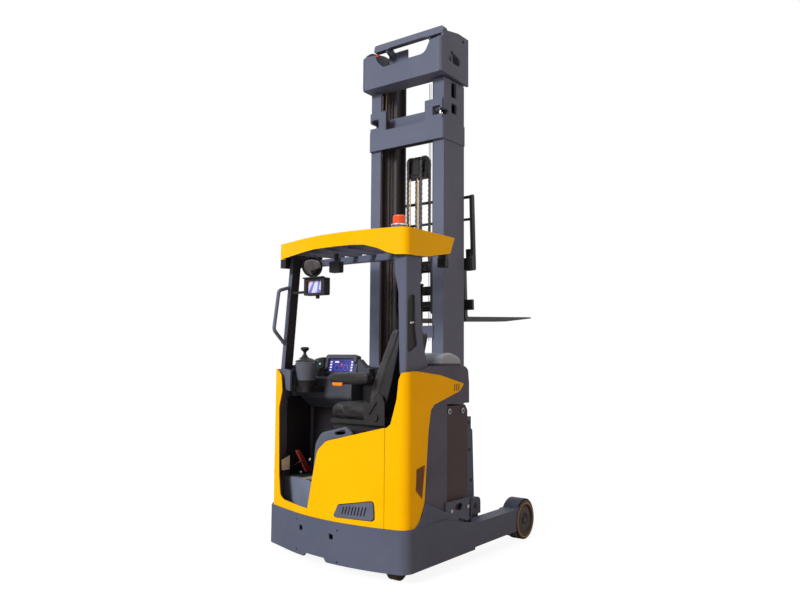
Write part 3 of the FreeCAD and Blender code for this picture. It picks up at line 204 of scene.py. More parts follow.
# %% [markdown]
# ### Paint
# The panels are a warm yellow, the chassis and the mast a satin slate.  Dust gathers low on a
# truck that works indoors, so the slate gets a paler veil near the floor: it is mixed in by
# the height of the place, broken up by noise.


# %% Paint for panels, chassis and mast
DUST_TOP = 0.42
DUST_TONE = (0.30, 0.28, 0.26)


def paint(name, colour, rough, peel=0.00012, dust=0.0, shine=0.4, patch=0.05):
    """Sprayed paint: patch is how far its tone varies, dust how thick the veil is."""
    finish, nodes, links, surface, place = new_finish(name)
    broad = noise(nodes, links, place, 2.3, 4)
    tone = mottled(nodes, links, broad, shade(colour, 1 - patch), shade(colour, 1 + patch, 0.002))
    if dust:
        low = spread(nodes, links, parts_of(nodes, links, place)["Z"], 0.02, DUST_TOP, 1, 0)
        speck = spread(nodes, links, noise(nodes, links, place, 14, 6), 0.38, 0.66, 0, dust)
        veil = maths(nodes, links, "MULTIPLY", low, speck)
        tone = blend_colours(nodes, links, veil, tone, DUST_TONE)
    links.new(tone, surface.inputs["Base Color"])
    fine = noise(nodes, links, place, 26, 3)
    vary_roughness(nodes, links, surface, fine, rough - 0.05, rough + 0.06)
    surface.inputs["Specular IOR Level"].default_value = shine
    links.new(orange_peel(nodes, links, place, peel, 0.5, 0.002), surface.inputs["Normal"])
    return finish


yellow_paint = paint("yellow_paint", (0.96, 0.490, 0.0), 0.38, shine=0.04, patch=0.03)
slate_paint = paint("slate_paint", (0.088, 0.104, 0.156), 0.46, dust=0.05, shine=0.08)
mast_paint = paint("mast_paint", (0.128, 0.146, 0.212), 0.44, shine=0.07)
black_paint = paint("black_paint", (0.016, 0.015, 0.017), 0.48, shine=0.3)
fork_paint = paint("fork_paint", (0.030, 0.029, 0.033), 0.40, shine=0.3)
battery_paint = paint("battery_paint", (0.070, 0.058, 0.066), 0.50, dust=0.06, shine=0.1)
rail_paint = paint("rail_paint", (0.072, 0.064, 0.070), 0.44, shine=0.2)
cast_paint = paint("cast_paint", (0.06, 0.06, 0.065), 0.6, peel=0.0006)
print("nodes in the yellow paint:", len(yellow_paint.node_tree.nodes))


# %% [markdown]
# ### Moulded plastic and rubber
# Moulded parts have a fine leather-like grain.  A Voronoi pattern gives its cells, about a
# millimetre wide, and a broad noise varies the tone and the roughness.


# %% Plastic and rubber
GRAIN_DEPTH = 0.00018


def moulded(name, colour, rough, grain=1100.0, shine=0.3):
    """Plastic or rubber with the grain of its mould, so many cells to the metre."""
    finish, nodes, links, surface, place = new_finish(name)
    cells = nodes.new("ShaderNodeTexVoronoi")
    cells.inputs["Scale"].default_value = grain
    links.new(place, cells.inputs["Vector"])
    broad = noise(nodes, links, place, 5, 3)
    tone = mottled(nodes, links, broad, shade(colour, 0.9), shade(colour, 1.12))
    links.new(tone, surface.inputs["Base Color"])
    vary_roughness(nodes, links, surface, broad, rough - 0.05, rough + 0.07)
    surface.inputs["Specular IOR Level"].default_value = shine
    rounded = soft_edge(nodes, 0.0025)
    grainy = relief(nodes, links, cells.outputs["Distance"], GRAIN_DEPTH, 0.5, rounded)
    links.new(grainy, surface.inputs["Normal"])
    return finish


trim_plastic = moulded("trim_plastic", (0.105, 0.118, 0.165), 0.50, shine=0.15)
hood_plastic = moulded("hood_plastic", (0.088, 0.090, 0.128), 0.48, shine=0.12)
dark_plastic = moulded("dark_plastic", (0.016, 0.015, 0.017), 0.52)
dash_plastic = moulded("dash_plastic", (0.055, 0.060, 0.080), 0.50)
cab_plastic = moulded("cab_plastic", (0.016, 0.015, 0.018), 0.55, shine=0.15)
step_plastic = moulded("step_plastic", (0.150, 0.178, 0.250), 0.55, shine=0.15)
accelerator_rubber = moulded("accelerator_rubber", (0.80, 0.70, 0.54), 0.6)
brake_red = moulded("brake_red", (0.40, 0.045, 0.040), 0.5)
mat_brown = moulded("mat_brown", (0.30, 0.25, 0.19), 0.7, shine=0.1)
louvre_brown = moulded("louvre_brown", (0.27, 0.115, 0.030), 0.6, shine=0.05)
signal_orange = moulded("signal_orange", (0.85, 0.24, 0.01), 0.45)
signal_red = moulded("signal_red", (0.42, 0.035, 0.025), 0.45)
plastics = [m.name for m in bpy.data.materials if "plastic" in m.name]
print("plastics:", ", ".join(plastics))

# %% [markdown]
# ### Bare and worked metal
# Chromed rods are nearly a mirror with hair-fine rings from grinding, so their noise is
# squeezed along Z.  The chain is oiled steel, and screws are brighter or darker zinc.


# %% Metals
def metal(name, colour, rough, streak=(1, 1, 1), scale=60.0, depth=0.0001):
    """Bare metal; streak stretches its pattern, as grinding does."""
    finish, nodes, links, surface, place = new_finish(name)
    pattern = noise(nodes, links, place, scale, 4, streak)
    tone = mottled(nodes, links, pattern, shade(colour, 0.72), shade(colour, 1.2))
    links.new(tone, surface.inputs["Base Color"])
    vary_roughness(nodes, links, surface, pattern, rough * 0.75, rough * 1.3)
    surface.inputs["Metallic"].default_value = 1.0
    bumpy = relief(nodes, links, pattern, depth, 0.4, soft_edge(nodes, 0.0015))
    links.new(bumpy, surface.inputs["Normal"])
    return finish


chrome = metal("chrome", (0.72, 0.72, 0.74), 0.12, (1, 1, 22), 30, 0.00003)
chain_steel = metal("chain_steel", (0.20, 0.19, 0.19), 0.36, scale=180)
bolt_steel = metal("bolt_steel", (0.34, 0.34, 0.35), 0.34, scale=200)
dark_bolt = metal("dark_bolt", (0.055, 0.055, 0.06), 0.42, scale=200)
bright_steel = metal("bright_steel", (0.50, 0.50, 0.51), 0.30, scale=90)
brass = metal("brass", (0.52, 0.33, 0.17), 0.35, scale=90)
print("metals: chrome, oiled, bright and dark steel, and brass")


# %% [markdown]
# ### A wheel in rings
# A load wheel shows rings from the rim inwards: a thin dark edge, the amber polyurethane
# tyre, a dark groove and the grey hub.  All lie at their own distance from the axle, so one
# colour ramp over that distance draws every ring, sharp and exactly round.


# %% Wheels
RAMP_REACH = 200
RUBBED_TONE = (0.06, 0.052, 0.05)


def ringed(name, axle_y, axle_z, rings):
    """Rings is a list of (distance in mm from the axle, colour), from the hub outwards."""
    finish, nodes, links, surface, place = new_finish(name)
    centre = spot(0, axle_y, axle_z)
    shift = nodes.new("ShaderNodeMapping")
    shift.inputs["Location"].default_value = (0, -centre.y, -centre.z)
    shift.inputs["Scale"].default_value = (0, 1, 1)
    links.new(place, shift.inputs["Vector"])
    length = nodes.new("ShaderNodeVectorMath")
    length.operation = "LENGTH"
    links.new(shift.outputs["Vector"], length.inputs[0])
    ramp = nodes.new("ShaderNodeValToRGB")
    ramp.color_ramp.interpolation = "CONSTANT"
    share = spread(nodes, links, length.outputs["Value"], 0, RAMP_REACH / 1000, 0, 1)
    links.new(share, ramp.inputs["Fac"])
    stops = ramp.color_ramp.elements
    for number, (reach, colour) in enumerate(rings):
        stop = stops[number] if number < 2 else stops.new(reach / RAMP_REACH)
        stop.position = reach / RAMP_REACH
        stop.color = (*colour, 1)
    scuff = noise(nodes, links, place, 60, 5)
    worn = spread(nodes, links, scuff, 0.45, 0.8, 0, 0.35)
    tone = blend_colours(nodes, links, worn, ramp.outputs["Color"], RUBBED_TONE)
    surface.inputs["Specular IOR Level"].default_value = 0.25
    links.new(tone, surface.inputs["Base Color"])
    vary_roughness(nodes, links, surface, scuff, 0.37, 0.57)
    scuffed = relief(nodes, links, scuff, 0.0003, 0.4, soft_edge(nodes, 0.002))
    links.new(scuffed, surface.inputs["Normal"])
    return finish


load_wheel_finish = ringed("load_wheel_rings", 1502, 143, [
    (0, (0.060, 0.052, 0.052)), (38, (0.035, 0.030, 0.031)), (56, (0.058, 0.050, 0.050)),
    (98, (0.018, 0.016, 0.017)), (112, (0.020, 0.017, 0.015)), (119, (0.42, 0.20, 0.035)),
    (127, (0.16, 0.075, 0.018)), (131, (0.030, 0.025, 0.022))])
drive_tyre_finish = ringed("drive_tyre_rings", 190, 171.5, [
    (0, (0.09, 0.09, 0.09)), (62, (0.13, 0.13, 0.13)), (128, (0.05, 0.035, 0.03))])
castor_finish = ringed("castor_rings", 68, 70, [
    (0, (0.12, 0.12, 0.12)), (40, (0.045, 0.035, 0.03))])
print("wheel rings drawn on three finishes")

# %% [markdown]
# ### Upholstery, glass and lamps
# The seat is covered in black vinyl with a fine leather grain and a soft sheen.  The lenses
# are clear shells with colour; the screens glow a little, so that they read in shade.


# %% Vinyl, glass and glowing surfaces
def vinyl(name, colour, rough):
    """Upholstery vinyl with creased grain and a soft sheen."""
    finish, nodes, links, surface, place = new_finish(name)
    creases = nodes.new("ShaderNodeTexVoronoi")
    creases.feature = "DISTANCE_TO_EDGE"
    creases.inputs["Scale"].default_value = 620
    links.new(place, creases.inputs["Vector"])
    broad = noise(nodes, links, place, 7, 4)
    tone = mottled(nodes, links, broad, shade(colour, 0.85), shade(colour, 1.2))
    links.new(tone, surface.inputs["Base Color"])
    vary_roughness(nodes, links, surface, broad, rough - 0.06, rough + 0.08)
    surface.inputs["Sheen Weight"].default_value = 0.08
    surface.inputs["Specular IOR Level"].default_value = 0.3
    surface.inputs["Sheen Roughness"].default_value = 0.4
    grain = relief(nodes, links, creases.outputs["Distance"], 0.0004, 0.55)
    links.new(relief(nodes, links, broad, 0.002, 0.3, grain), surface.inputs["Normal"])
    return finish


def glowing(name, colour, strength, rough=0.2):
    """A surface that gives off a little of its own colour."""
    finish, nodes, links, surface, place = new_finish(name)
    ripple = spread(nodes, links, noise(nodes, links, place, 40, 2), 0.3, 0.7, 0, 1)
    tone = blend_colours(nodes, links, ripple, shade(colour, 0.9), colour)
    links.new(tone, surface.inputs["Base Color"])
    links.new(tone, surface.inputs["Emission Color"])
    surface.inputs["Emission Strength"].default_value = strength
    surface.inputs["Roughness"].default_value = rough
    return finish


seat_vinyl = vinyl("seat_vinyl", (0.016, 0.015, 0.016), 0.42)
back_vinyl = vinyl("back_vinyl", (0.036, 0.034, 0.038), 0.46)
seam_thread = moulded("seam_thread", (0.05, 0.05, 0.055), 0.6, grain=3000)
screen_blue = glowing("screen_blue", (0.045, 0.045, 0.26), 0.35)
screen_deep = glowing("screen_deep", (0.030, 0.030, 0.20), 0.30)
screen_violet = glowing("screen_violet", (0.15, 0.14, 0.50), 0.45)
screen_white = glowing("screen_white", (0.62, 0.62, 0.85), 0.55)
screen_pale = glowing("screen_pale", (0.50, 0.54, 0.70), 0.45)
screen_red = glowing("screen_red", (0.75, 0.08, 0.10), 0.6)
led_green = glowing("led_green", (0.25, 0.80, 0.45), 0.7)
beacon_lens = glowing("beacon_lens", (0.80, 0.085, 0.012), 0.10, 0.12)
mirror_glass = metal("mirror_glass", (0.20, 0.19, 0.19), 0.10, scale=34, depth=0.003)
print("finishes in all:", len(bpy.data.materials))

# %% [markdown]
# Some solids change their finish at a line: the lift rod is chromed below its black yoke, the
# inner rails are greased below the painted top bar, the steering pod is black at its foot, the
# hood's crest is painted pale, partly the colour of its translucent dome and partly a painted
# highlight on its top, and the left post of the guard is painted black on its inner side as
# painted shade.  One finish with a sharp step along an axis does it without cutting the solid.


# %% Finishes that change at a line
def two_part(name, axis, line, below, above, shine=0.2, facing=None):
    """below and above are (colour, roughness, metallic); line is in metres along the axis.
    With facing, the lower finish lies only on faces that point that much to the right."""
    finish, nodes, links, surface, place = new_finish(name)
    choice = maths(nodes, links, "GREATER_THAN", parts_of(nodes, links, place)[axis], line)
    if facing is not None:
        way = parts_of(nodes, links, nodes.new("ShaderNodeTexCoord").outputs["Normal"])
        turned = maths(nodes, links, "LESS_THAN", way["X"], facing)
        choice = maths(nodes, links, "MAXIMUM", choice, turned)
    broad = noise(nodes, links, place, 2.3, 4)
    tones = [
        mottled(nodes, links, broad, shade(colour, 0.97), shade(colour, 1.03))
        for colour, _, _ in (below, above)]
    links.new(blend_colours(nodes, links, choice, *tones), surface.inputs["Base Color"])
    rough = spread(nodes, links, choice, 0, 1, below[1], above[1])
    links.new(rough, surface.inputs["Roughness"])
    if below[2] != above[2]:
        metallic = spread(nodes, links, choice, 0, 1, below[2], above[2])
        links.new(metallic, surface.inputs["Metallic"])
    surface.inputs["Specular IOR Level"].default_value = shine
    links.new(orange_peel(nodes, links, place, 0.0001, 0.4, 0.0015), surface.inputs["Normal"])
    return finish


chromed, yoke_black = ((0.72, 0.72, 0.74), 0.14, 1.0), ((0.022, 0.020, 0.024), 0.45, 0.0)
lift_rod_finish = two_part("lift_rod_finish", "Z", 2.755, chromed, yoke_black)
rail_dark, top_slate = ((0.082, 0.075, 0.084), 0.46, 0.0), ((0.134, 0.150, 0.215), 0.46, 0.0)
inner_rail_finish = two_part("inner_rail_finish", "Z", 3.735, rail_dark, top_slate, 0.12)
base_grey, beacon_red = ((0.16, 0.15, 0.16), 0.3, 0.0), ((0.83, 0.070, 0.008), 0.18, 0.0)
beacon_finish = two_part("beacon_finish", "Z", 2.2245, base_grey, beacon_red, 0.5)
# the left post's black on its right-facing inner side is painted shade; the rest of the frame is
# slate
post_painted_shade, post_slate = ((0.030, 0.028, 0.034), 0.45, 0.0), ((0.110, 0.124, 0.185), 0.46, 0.0)
post_finish = two_part("post_finish", "X", -0.53, post_painted_shade, post_slate, 0.1, 0.5)
# the crest above the line is pale: partly the translucent dome's colour and partly a painted
# highlight on the hood's top
hood_slate, crest_painted_highlight = ((0.086, 0.088, 0.128), 0.48, 0.0), ((0.36, 0.41, 0.49), 0.35, 0.0)
hood_finish = two_part("hood_finish", "Z", 1.332, hood_slate, crest_painted_highlight, 0.1)
pod_black, pod_slate = ((0.014, 0.013, 0.015), 0.5, 0.0), ((0.100, 0.113, 0.145), 0.42, 0.0)
pod_finish = two_part("pod_finish", "Z", 1.205, pod_black, pod_slate)
print("nodes in the post's finish:", len(post_finish.node_tree.nodes))

# %% [markdown]
# The guard's roof is yellow outside, but its inner faces are near black: the frame's slate,
# darkened as painted shade.  The roof is one pressed sheet, so the finish looks at which way the
# surface points and where it lies: the underside, the walls' inner faces and the low left end
# take the second colour, the painted shade.


# %% Finish of the roof
ROOF_MIDDLE_Y = -0.853
LOW_END_Z, LOW_END_X = 2.074, -0.52


def roof(name, outer, inner):
    """Yellow outside; the frame's slate darkened to near black as painted shade below, on the
    walls' inner faces and at the low left end.
    """
    finish, nodes, links, surface, place = new_finish(name)
    way = parts_of(nodes, links, nodes.new("ShaderNodeTexCoord").outputs["Normal"])
    where = parts_of(nodes, links, place)
    underside = maths(nodes, links, "LESS_THAN", way["Z"], -0.6)
    # a side wall faces in where its normal and its place have opposite signs
    across = maths(nodes, links, "MULTIPLY", way["X"], where["X"])
    side_inner = maths(nodes, links, "LESS_THAN", across, -0.25)
    from_middle = maths(nodes, links, "SUBTRACT", where["Y"], ROOF_MIDDLE_Y)
    lengthwise = maths(nodes, links, "MULTIPLY", way["Y"], from_middle)
    end_inner = maths(nodes, links, "LESS_THAN", lengthwise, -0.15)
    # the low rear end of the left wall, but not its outer face
    low = maths(nodes, links, "LESS_THAN", where["Z"], LOW_END_Z)
    not_outside = maths(nodes, links, "GREATER_THAN", way["X"], -0.8)
    far_left = maths(nodes, links, "LESS_THAN", where["X"], LOW_END_X)
    low_end = maths(nodes, links, "MULTIPLY", low, not_outside)
    low_end = maths(nodes, links, "MULTIPLY", low_end, far_left)
    # all these places take the near-black second colour: the frame's slate with painted shade
    slate_and_shade_there = underside
    for part in (side_inner, end_inner, low_end):
        slate_and_shade_there = maths(nodes, links, "MAXIMUM", slate_and_shade_there, part)
    broad = noise(nodes, links, place, 2.3, 4)
    yellow = mottled(nodes, links, broad, shade(outer, 0.97), shade(outer, 1.03))
    tone = blend_colours(nodes, links, slate_and_shade_there, yellow, inner)
    links.new(tone, surface.inputs["Base Color"])
    vary_roughness(nodes, links, surface, noise(nodes, links, place, 26, 3), 0.33, 0.44)
    surface.inputs["Specular IOR Level"].default_value = 0.07
    links.new(orange_peel(nodes, links, place, 0.00012, 0.5, 0.002), surface.inputs["Normal"])
    return finish


# the inner colour is the frame's slate darkened to near black: painted shade
roof_finish = roof("roof_finish", (0.96, 0.515, 0.0), (0.030, 0.030, 0.038))
print("nodes in the roof's finish:", len(roof_finish.node_tree.nodes))

# %% [markdown]
# ## Finishes on the solids
# Each solid keeps its own object; only the material in its first slot changes.

# %% Give every solid its finish
SOLID_FINISH = {
    yellow_paint: "rear_panel corner_cover door_frame",
    roof_finish: "overhead_guard",
    slate_paint: "chassis straddle_leg_right straddle_leg_left reach_carriage battery_retainers",
    mast_paint: "mast_outer mast_head grab_handle",
    post_finish: "guard_frame",
    black_paint: (
        "castor_fork lift_cylinders reach_cylinder free_lift_cylinder lift_carriage fork_frame"),
    fork_paint: "forks",
    battery_paint: "battery",
    cast_paint: "drive_unit",
    trim_plastic: "door_trim door_cap vent_grille",
    hood_plastic: "side_frames",
    hood_finish: "battery_hood",
    cab_plastic: "cab_lining",
    step_plastic: "cab_floor",
    pod_finish: "steering_pod",
    dash_plastic: "dashboard display",
    dark_plastic: "monitor work_lamps steering_wheel seat_base armrest mirror pedals",
    beacon_finish: "beacon",
    chrome: "lift_rods reach_rod",
    lift_rod_finish: "free_lift_rod",
    rail_paint: "mast_middle",
    inner_rail_finish: "mast_inner",
    chain_steel: "lift_chains free_lift_chains",
    load_wheel_finish: "load_wheel_right load_wheel_left",
    drive_tyre_finish: "drive_wheel",
    castor_finish: "castor_wheel",
    seat_vinyl: "seat_cushion seat_back",
}
for finish, names in SOLID_FINISH.items():
    for name in names.split():
        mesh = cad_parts[name].data
        mesh.materials.clear()
        mesh.materials.append(finish)
finished = {name for names in SOLID_FINISH.values() for name in names.split()}
print("solids finished:", len(finished), "left plain:", sorted(set(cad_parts) - finished))

# %% [markdown]
# ## The view
# The camera stands at the truck's right rear, at about chest height, and looks slightly up.
# Its matrix is built from the heading, the pitch and a small roll; the lens is a mild wide
# angle, with hardly any shift.

# %% Camera
HEADING, PITCH, ROLL = 0.640949, 0.076654, 0.006834
LENS, SENSOR_WIDTH = 33.09795, 36
SHIFT_X, SHIFT_Y = -0.001675, -0.000555
EYE = spot(3288.4, -3660.0, 1360.0)
ahead = Vector((-math.sin(HEADING), math.cos(HEADING), 0))
forward = ahead * math.cos(PITCH) + Vector((0, 0, math.sin(PITCH)))
level = Vector((math.cos(HEADING), math.sin(HEADING), 0))
upright = level.cross(forward)
right = level * math.cos(ROLL) + upright * math.sin(ROLL)
top = upright * math.cos(ROLL) - level * math.sin(ROLL)
camera_data = bpy.data.cameras.new("camera")
camera_data.sensor_width = SENSOR_WIDTH
camera_data.lens = LENS
camera_data.shift_x = SHIFT_X
camera_data.shift_y = SHIFT_Y
camera_data.clip_end = 200
camera = bpy.data.objects.new("camera", camera_data)
bpy.context.scene.collection.objects.link(camera)
turn = Matrix((right, top, -forward)).transposed().to_4x4()
camera.matrix_world = Matrix.Translation(EYE) @ turn
bpy.context.scene.camera = camera
print("lens", round(camera_data.lens, 2), "mm at", tuple(round(c, 3) for c in camera.location))

# %% [markdown]
# ## Light and floor
# One broad sun from the left and behind lights the tail, a weak warm one lifts the shaded
# side and a cool one from above marks the tops.  The sky is a warm grey for what it lights,
# but white for what the camera and polished metal see.


# %% Suns and sky
def sun(name, towards, strength, angle, colour=(1, 1, 1)):
    """A sun that shines along a direction; angle is its width in degrees."""
    light = bpy.data.lights.new(name, "SUN")
    light.energy = strength
    light.color = colour
    light.angle = math.radians(angle)
    lamp = bpy.data.objects.new(name, light)
    lamp.rotation_mode = "QUATERNION"
    lamp.rotation_quaternion = Vector(towards).to_track_quat("-Z", "Y")
    bpy.context.scene.collection.objects.link(lamp)


sun("key_sun", (0.12, 0.87, -0.48), 2.62, 18)
sun("fill_sun", (-0.9, 0.25, -0.30), 0.52, 40, (1.0, 0.62, 0.34))
sun("top_sun", (0.1, 0.15, -1.0), 0.9, 30, (0.84, 0.92, 1.0))
SKY_LIGHT, SKY_SEEN = 0.30, 1.0
sky = bpy.data.worlds.new("sky")
bpy.context.scene.world = sky
sky.use_nodes = True
nodes, links = sky.node_tree.nodes, sky.node_tree.links
ray = nodes.new("ShaderNodeLightPath").outputs
seen = maths(nodes, links, "MAXIMUM", ray["Is Camera Ray"], ray["Is Transmission Ray"])
seen = maths(nodes, links, "MAXIMUM", seen, ray["Is Glossy Ray"])
tint = blend_colours(nodes, links, seen, (1.0, 0.86, 0.80), (1, 1, 1))
links.new(tint, nodes["Background"].inputs["Color"])
strength = spread(nodes, links, seen, 0, 1, SKY_LIGHT, SKY_SEEN)
links.new(strength, nodes["Background"].inputs["Strength"])
bpy.context.scene.view_settings.view_transform = "Standard"
print("suns:", [lamp.name for lamp in bpy.data.lights])

# %% [markdown]
# The floor works the same way: it looks white and takes the truck's shadow, but throws little
# light back up, so that the sides keep their depth.

# %% Floor
FLOOR_GLOW, GLOW_SHARE = 1.13, 0.80
floor_mesh = bpy.data.meshes.new("floor")
floor_shape = bmesh.new()
bmesh.ops.create_circle(floor_shape, cap_ends=True, segments=64, radius=60)
floor_shape.to_mesh(floor_mesh)
floor_shape.free()
studio_floor = bpy.data.objects.new("floor", floor_mesh)
bpy.context.scene.collection.objects.link(studio_floor)
floor_finish, nodes, links, surface, place = new_finish("floor_white")
seen = nodes.new("ShaderNodeLightPath").outputs["Is Camera Ray"]
floor_tone = blend_colours(nodes, links, seen, (0.42, 0.39, 0.37), (0.90, 0.90, 0.90))
links.new(floor_tone, surface.inputs["Base Color"])
surface.inputs["Roughness"].default_value = 0.9
glow = nodes.new("ShaderNodeEmission")
glow.inputs["Strength"].default_value = FLOOR_GLOW
mixed = nodes.new("ShaderNodeMixShader")
links.new(spread(nodes, links, seen, 0, 1, 0.0, GLOW_SHARE), mixed.inputs[0])
links.new(surface.outputs[0], mixed.inputs[1])
links.new(glow.outputs[0], mixed.inputs[2])
links.new(mixed.outputs[0], nodes["Material Output"].inputs["Surface"])
floor_mesh.materials.append(floor_finish)
studio_floor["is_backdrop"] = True
print("floor faces:", len(floor_mesh.polygons))

# %% [markdown]
# ## Shaping helpers
# Flat parts are cut as an outline and pushed along an axis, then their edges are bevelled.
# Everything is built with its place in its mesh and its object at the origin.


# %% Helpers that make pieces
HANDS = ((1, "right"), (-1, "left"))


def add_piece(name, mesh, finish, body):
    """An object at the origin with one finish, riding on a body."""
    piece = bpy.data.objects.new(name, mesh)
    bpy.context.scene.collection.objects.link(piece)
    mesh.materials.clear()
    mesh.materials.append(finish)
    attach(piece, body)
    return piece


def settle(piece):
    """Applies the piece's modifiers to its mesh."""
    graph = bpy.context.evaluated_depsgraph_get()
    applied = bpy.data.meshes.new_from_object(piece.evaluated_get(graph))
    piece.modifiers.clear()
    piece.data = applied


def shade_smooth(mesh, sharp=None):
    """Smooth shading; edges sharper than the angle in degrees stay crisp."""
    for face in mesh.polygons:
        face.use_smooth = True
    if sharp is not None:
        mesh.set_sharp_from_angle(angle=math.radians(sharp))


def take_mesh(shape, name):
    """The mesh of a finished bmesh, which is freed."""
    mesh = bpy.data.meshes.new(name)
    shape.to_mesh(mesh)
    shape.free()
    return mesh


def join_rings(shape, first, second):
    """A closed plate between two rings of places with equal counts."""
    first = [shape.verts.new(place) for place in first]
    second = [shape.verts.new(place) for place in second]
    shape.faces.new(first)
    shape.faces.new(second[::-1])
    for k in range(len(first)):
        shape.faces.new((first[k - 1], first[k], second[k], second[k - 1]))


def outline_spot(axis, along, u, v):
    """A place from an outline's (u, v) and the distance along the axis it is pushed on."""
    if axis == "x":
        return spot(along, u, v)
    if axis == "y":
        return spot(u, along, v)
    return spot(u, v, along)


def slab(name, axis, low, high, outlines, finish, body, bevel=0.0):
    """Outlines pushed along an axis from low to high, with bevelled edges."""
    shape = bmesh.new()
    for outline in outlines:
        near, far = ([outline_spot(axis, end, u, v) for u, v in outline] for end in (low, high))
        join_rings(shape, near, far)
    bmesh.ops.recalc_face_normals(shape, faces=shape.faces)
    if bevel:
        bmesh.ops.bevel(
            shape, geom=list(shape.edges), offset=bevel / 1000, segments=3, affect="EDGES",
            profile=0.5, clamp_overlap=True)
    mesh = take_mesh(shape, name)
    if bevel:
        shade_smooth(mesh, 40)
    return add_piece(name, mesh, finish, body)


def box_outline(u0, v0, u1, v1):
    """A rectangle between two corners."""
    return [(u0, v0), (u1, v0), (u1, v1), (u0, v1)]


def disc_outline(u, v, radius, count=20):
    """Evenly spaced places on a circle."""
    turns = [2 * math.pi * k / count for k in range(count)]
    return [(u + radius * math.cos(a), v + radius * math.sin(a)) for a in turns]


print("piece helpers are ready")


# %% [markdown]
# ## Upholstery
# The seat has three padded pieces: the cushion, the back pad and the armrest pad.  Each is
# blown up a little by a cloth simulation, because foam under a tight cover bulges between its
# seams in a way that a bevel does not.  A slab with rounded edges is remeshed to an even
# grid, gets some pressure for twenty frames, and a cap keeps every point near where it began.
# Sewn channels are pressed in afterwards, as they are narrower than the grid.


# %% Helpers for padded pieces
LAST_FRAME = 20
CHANNEL_DEPTH, CHANNEL_WIDTH = 0.006, 0.007
ALONG_Y, UP = Vector((0, 1, 0)), Vector((0, 0, 1))


def even_grid(pad, size):
    """Remeshes the pad to cells of the given size in metres."""
    remesh = pad.modifiers.new("even", "REMESH")
    remesh.mode = "VOXEL"
    remesh.voxel_size = size
    settle(pad)


def blow_up(pad, cap):
    """Twenty frames of cloth under pressure; no point moves further than cap, in metres."""
    before = [v.co.copy() for v in pad.data.vertices]
    cloth = pad.modifiers.new("cloth", "CLOTH")
    cloth.settings.use_pressure = True
    cloth.settings.uniform_pressure_force = 4.0
    cloth.settings.effector_weights.gravity = 0
    cloth.point_cache.frame_start = 1
    cloth.point_cache.frame_end = LAST_FRAME
    scene = bpy.context.scene
    for step in range(1, LAST_FRAME + 1):
        scene.frame_set(step)
    graph = bpy.context.evaluated_depsgraph_get()
    blown = pad.evaluated_get(graph).to_mesh()
    moved = [v.co.copy() for v in blown.vertices]
    pad.evaluated_get(graph).to_mesh_clear()
    pad.modifiers.clear()
    scene.frame_set(1)
    for vertex, start, end in zip(pad.data.vertices, before, moved):
        shift = end - start
        if shift.length > cap:
            shift = shift.normalized() * cap
        vertex.co = start + shift


def press_channels(pad, lines):
    """Presses sewn grooves in: each line is (point, across, facing), all in metres."""
    for vertex in pad.data.vertices:
        for point, across, facing in lines:
            if vertex.normal.dot(facing) > 0.35:
                away = (vertex.co - point).dot(across)
                vertex.co -= facing * CHANNEL_DEPTH * math.exp(-((away / CHANNEL_WIDTH) ** 2))


def finish_pad(pad):
    """Smooths the pad, adds one subdivision and smooth shading."""
    smooth = pad.modifiers.new("smooth", "SMOOTH")
    smooth.iterations = 3
    smooth.factor = 0.5
    divide = pad.modifiers.new("divide", "SUBSURF")
    divide.levels = 1
    divide.render_levels = 1
    settle(pad)
    shade_smooth(pad.data)


# %% [markdown]
# The cushion lies between the seat's side plates.  Its front end is rounded under the
# operator's knees, and three channels are sewn across the sitting surface.

# %% Seat cushion
CUSHION_SIDE = [
    (-72, 972), (222, 972), (222, 1048), (150, 1056), (-26, 1062), (-66, 1050), (-80, 1024),
    (-80, 992)]
cushion = slab(
    "seat_cushion_pad", "y", 64, 386, [CUSHION_SIDE], seat_vinyl, "truck", 14)
even_grid(cushion, 0.0065)
blow_up(cushion, 0.010)
along_x = Vector((1, 0, 0))
press_channels(cushion, [(spot(x, 225, 1060), along_x, UP) for x in (-10, 62, 134)])
press_channels(cushion, [(spot(70, y, 1060), ALONG_Y, UP) for y in (118, 332)])
finish_pad(cushion)
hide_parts("seat_cushion")
print("cushion faces:", len(cushion.data.polygons))

# %% [markdown]
# The back pad leans with the seat's shell.  It is a lighter vinyl, and its front face has
# channels across it; the black shell behind it carries it from the recliner to the crest.

# %% Back pad and its shell
BACK_SIDE = [
    (248, 1000), (252, 1100), (266, 1180), (300, 1270), (362, 1398), (430, 1532), (456, 1552),
    (482, 1546), (484, 1520), (440, 1420), (374, 1282), (336, 1190), (322, 1110), (316, 1000)]
CHANNEL_SPOTS = ((296, 1262), (338, 1350), (382, 1440))
back_pad = slab(
    "seat_back_pad", "y", 66, 382, [BACK_SIDE], back_vinyl, "truck", 12)
even_grid(back_pad, 0.0065)
blow_up(back_pad, 0.009)
lean = Vector((-0.90, 0, 0.44))
along = Vector((0.44, 0, 0.90))
press_channels(back_pad, [(spot(x, 225, z), along, lean) for x, z in CHANNEL_SPOTS])
press_channels(back_pad, [(spot(340, y, 1350), ALONG_Y, lean) for y in (122, 326)])
finish_pad(back_pad)
SHELL_SIDE = [
    (322, 990), (372, 985), (384, 1060), (428, 1200), (470, 1370), (502, 1508), (500, 1530),
    (486, 1530), (444, 1424), (378, 1284), (340, 1190), (326, 1110)]
back_shell = slab(
    "seat_back_shell", "y", 72, 376, [SHELL_SIDE], dark_plastic, "truck", 9)
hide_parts("seat_back")
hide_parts("seat_back")
print("back pad faces:", len(back_pad.data.polygons))

# %% [markdown]
# The armrest is a long pod, blunt at the back and pointed at the front, with the orange
# safety button under its near edge.

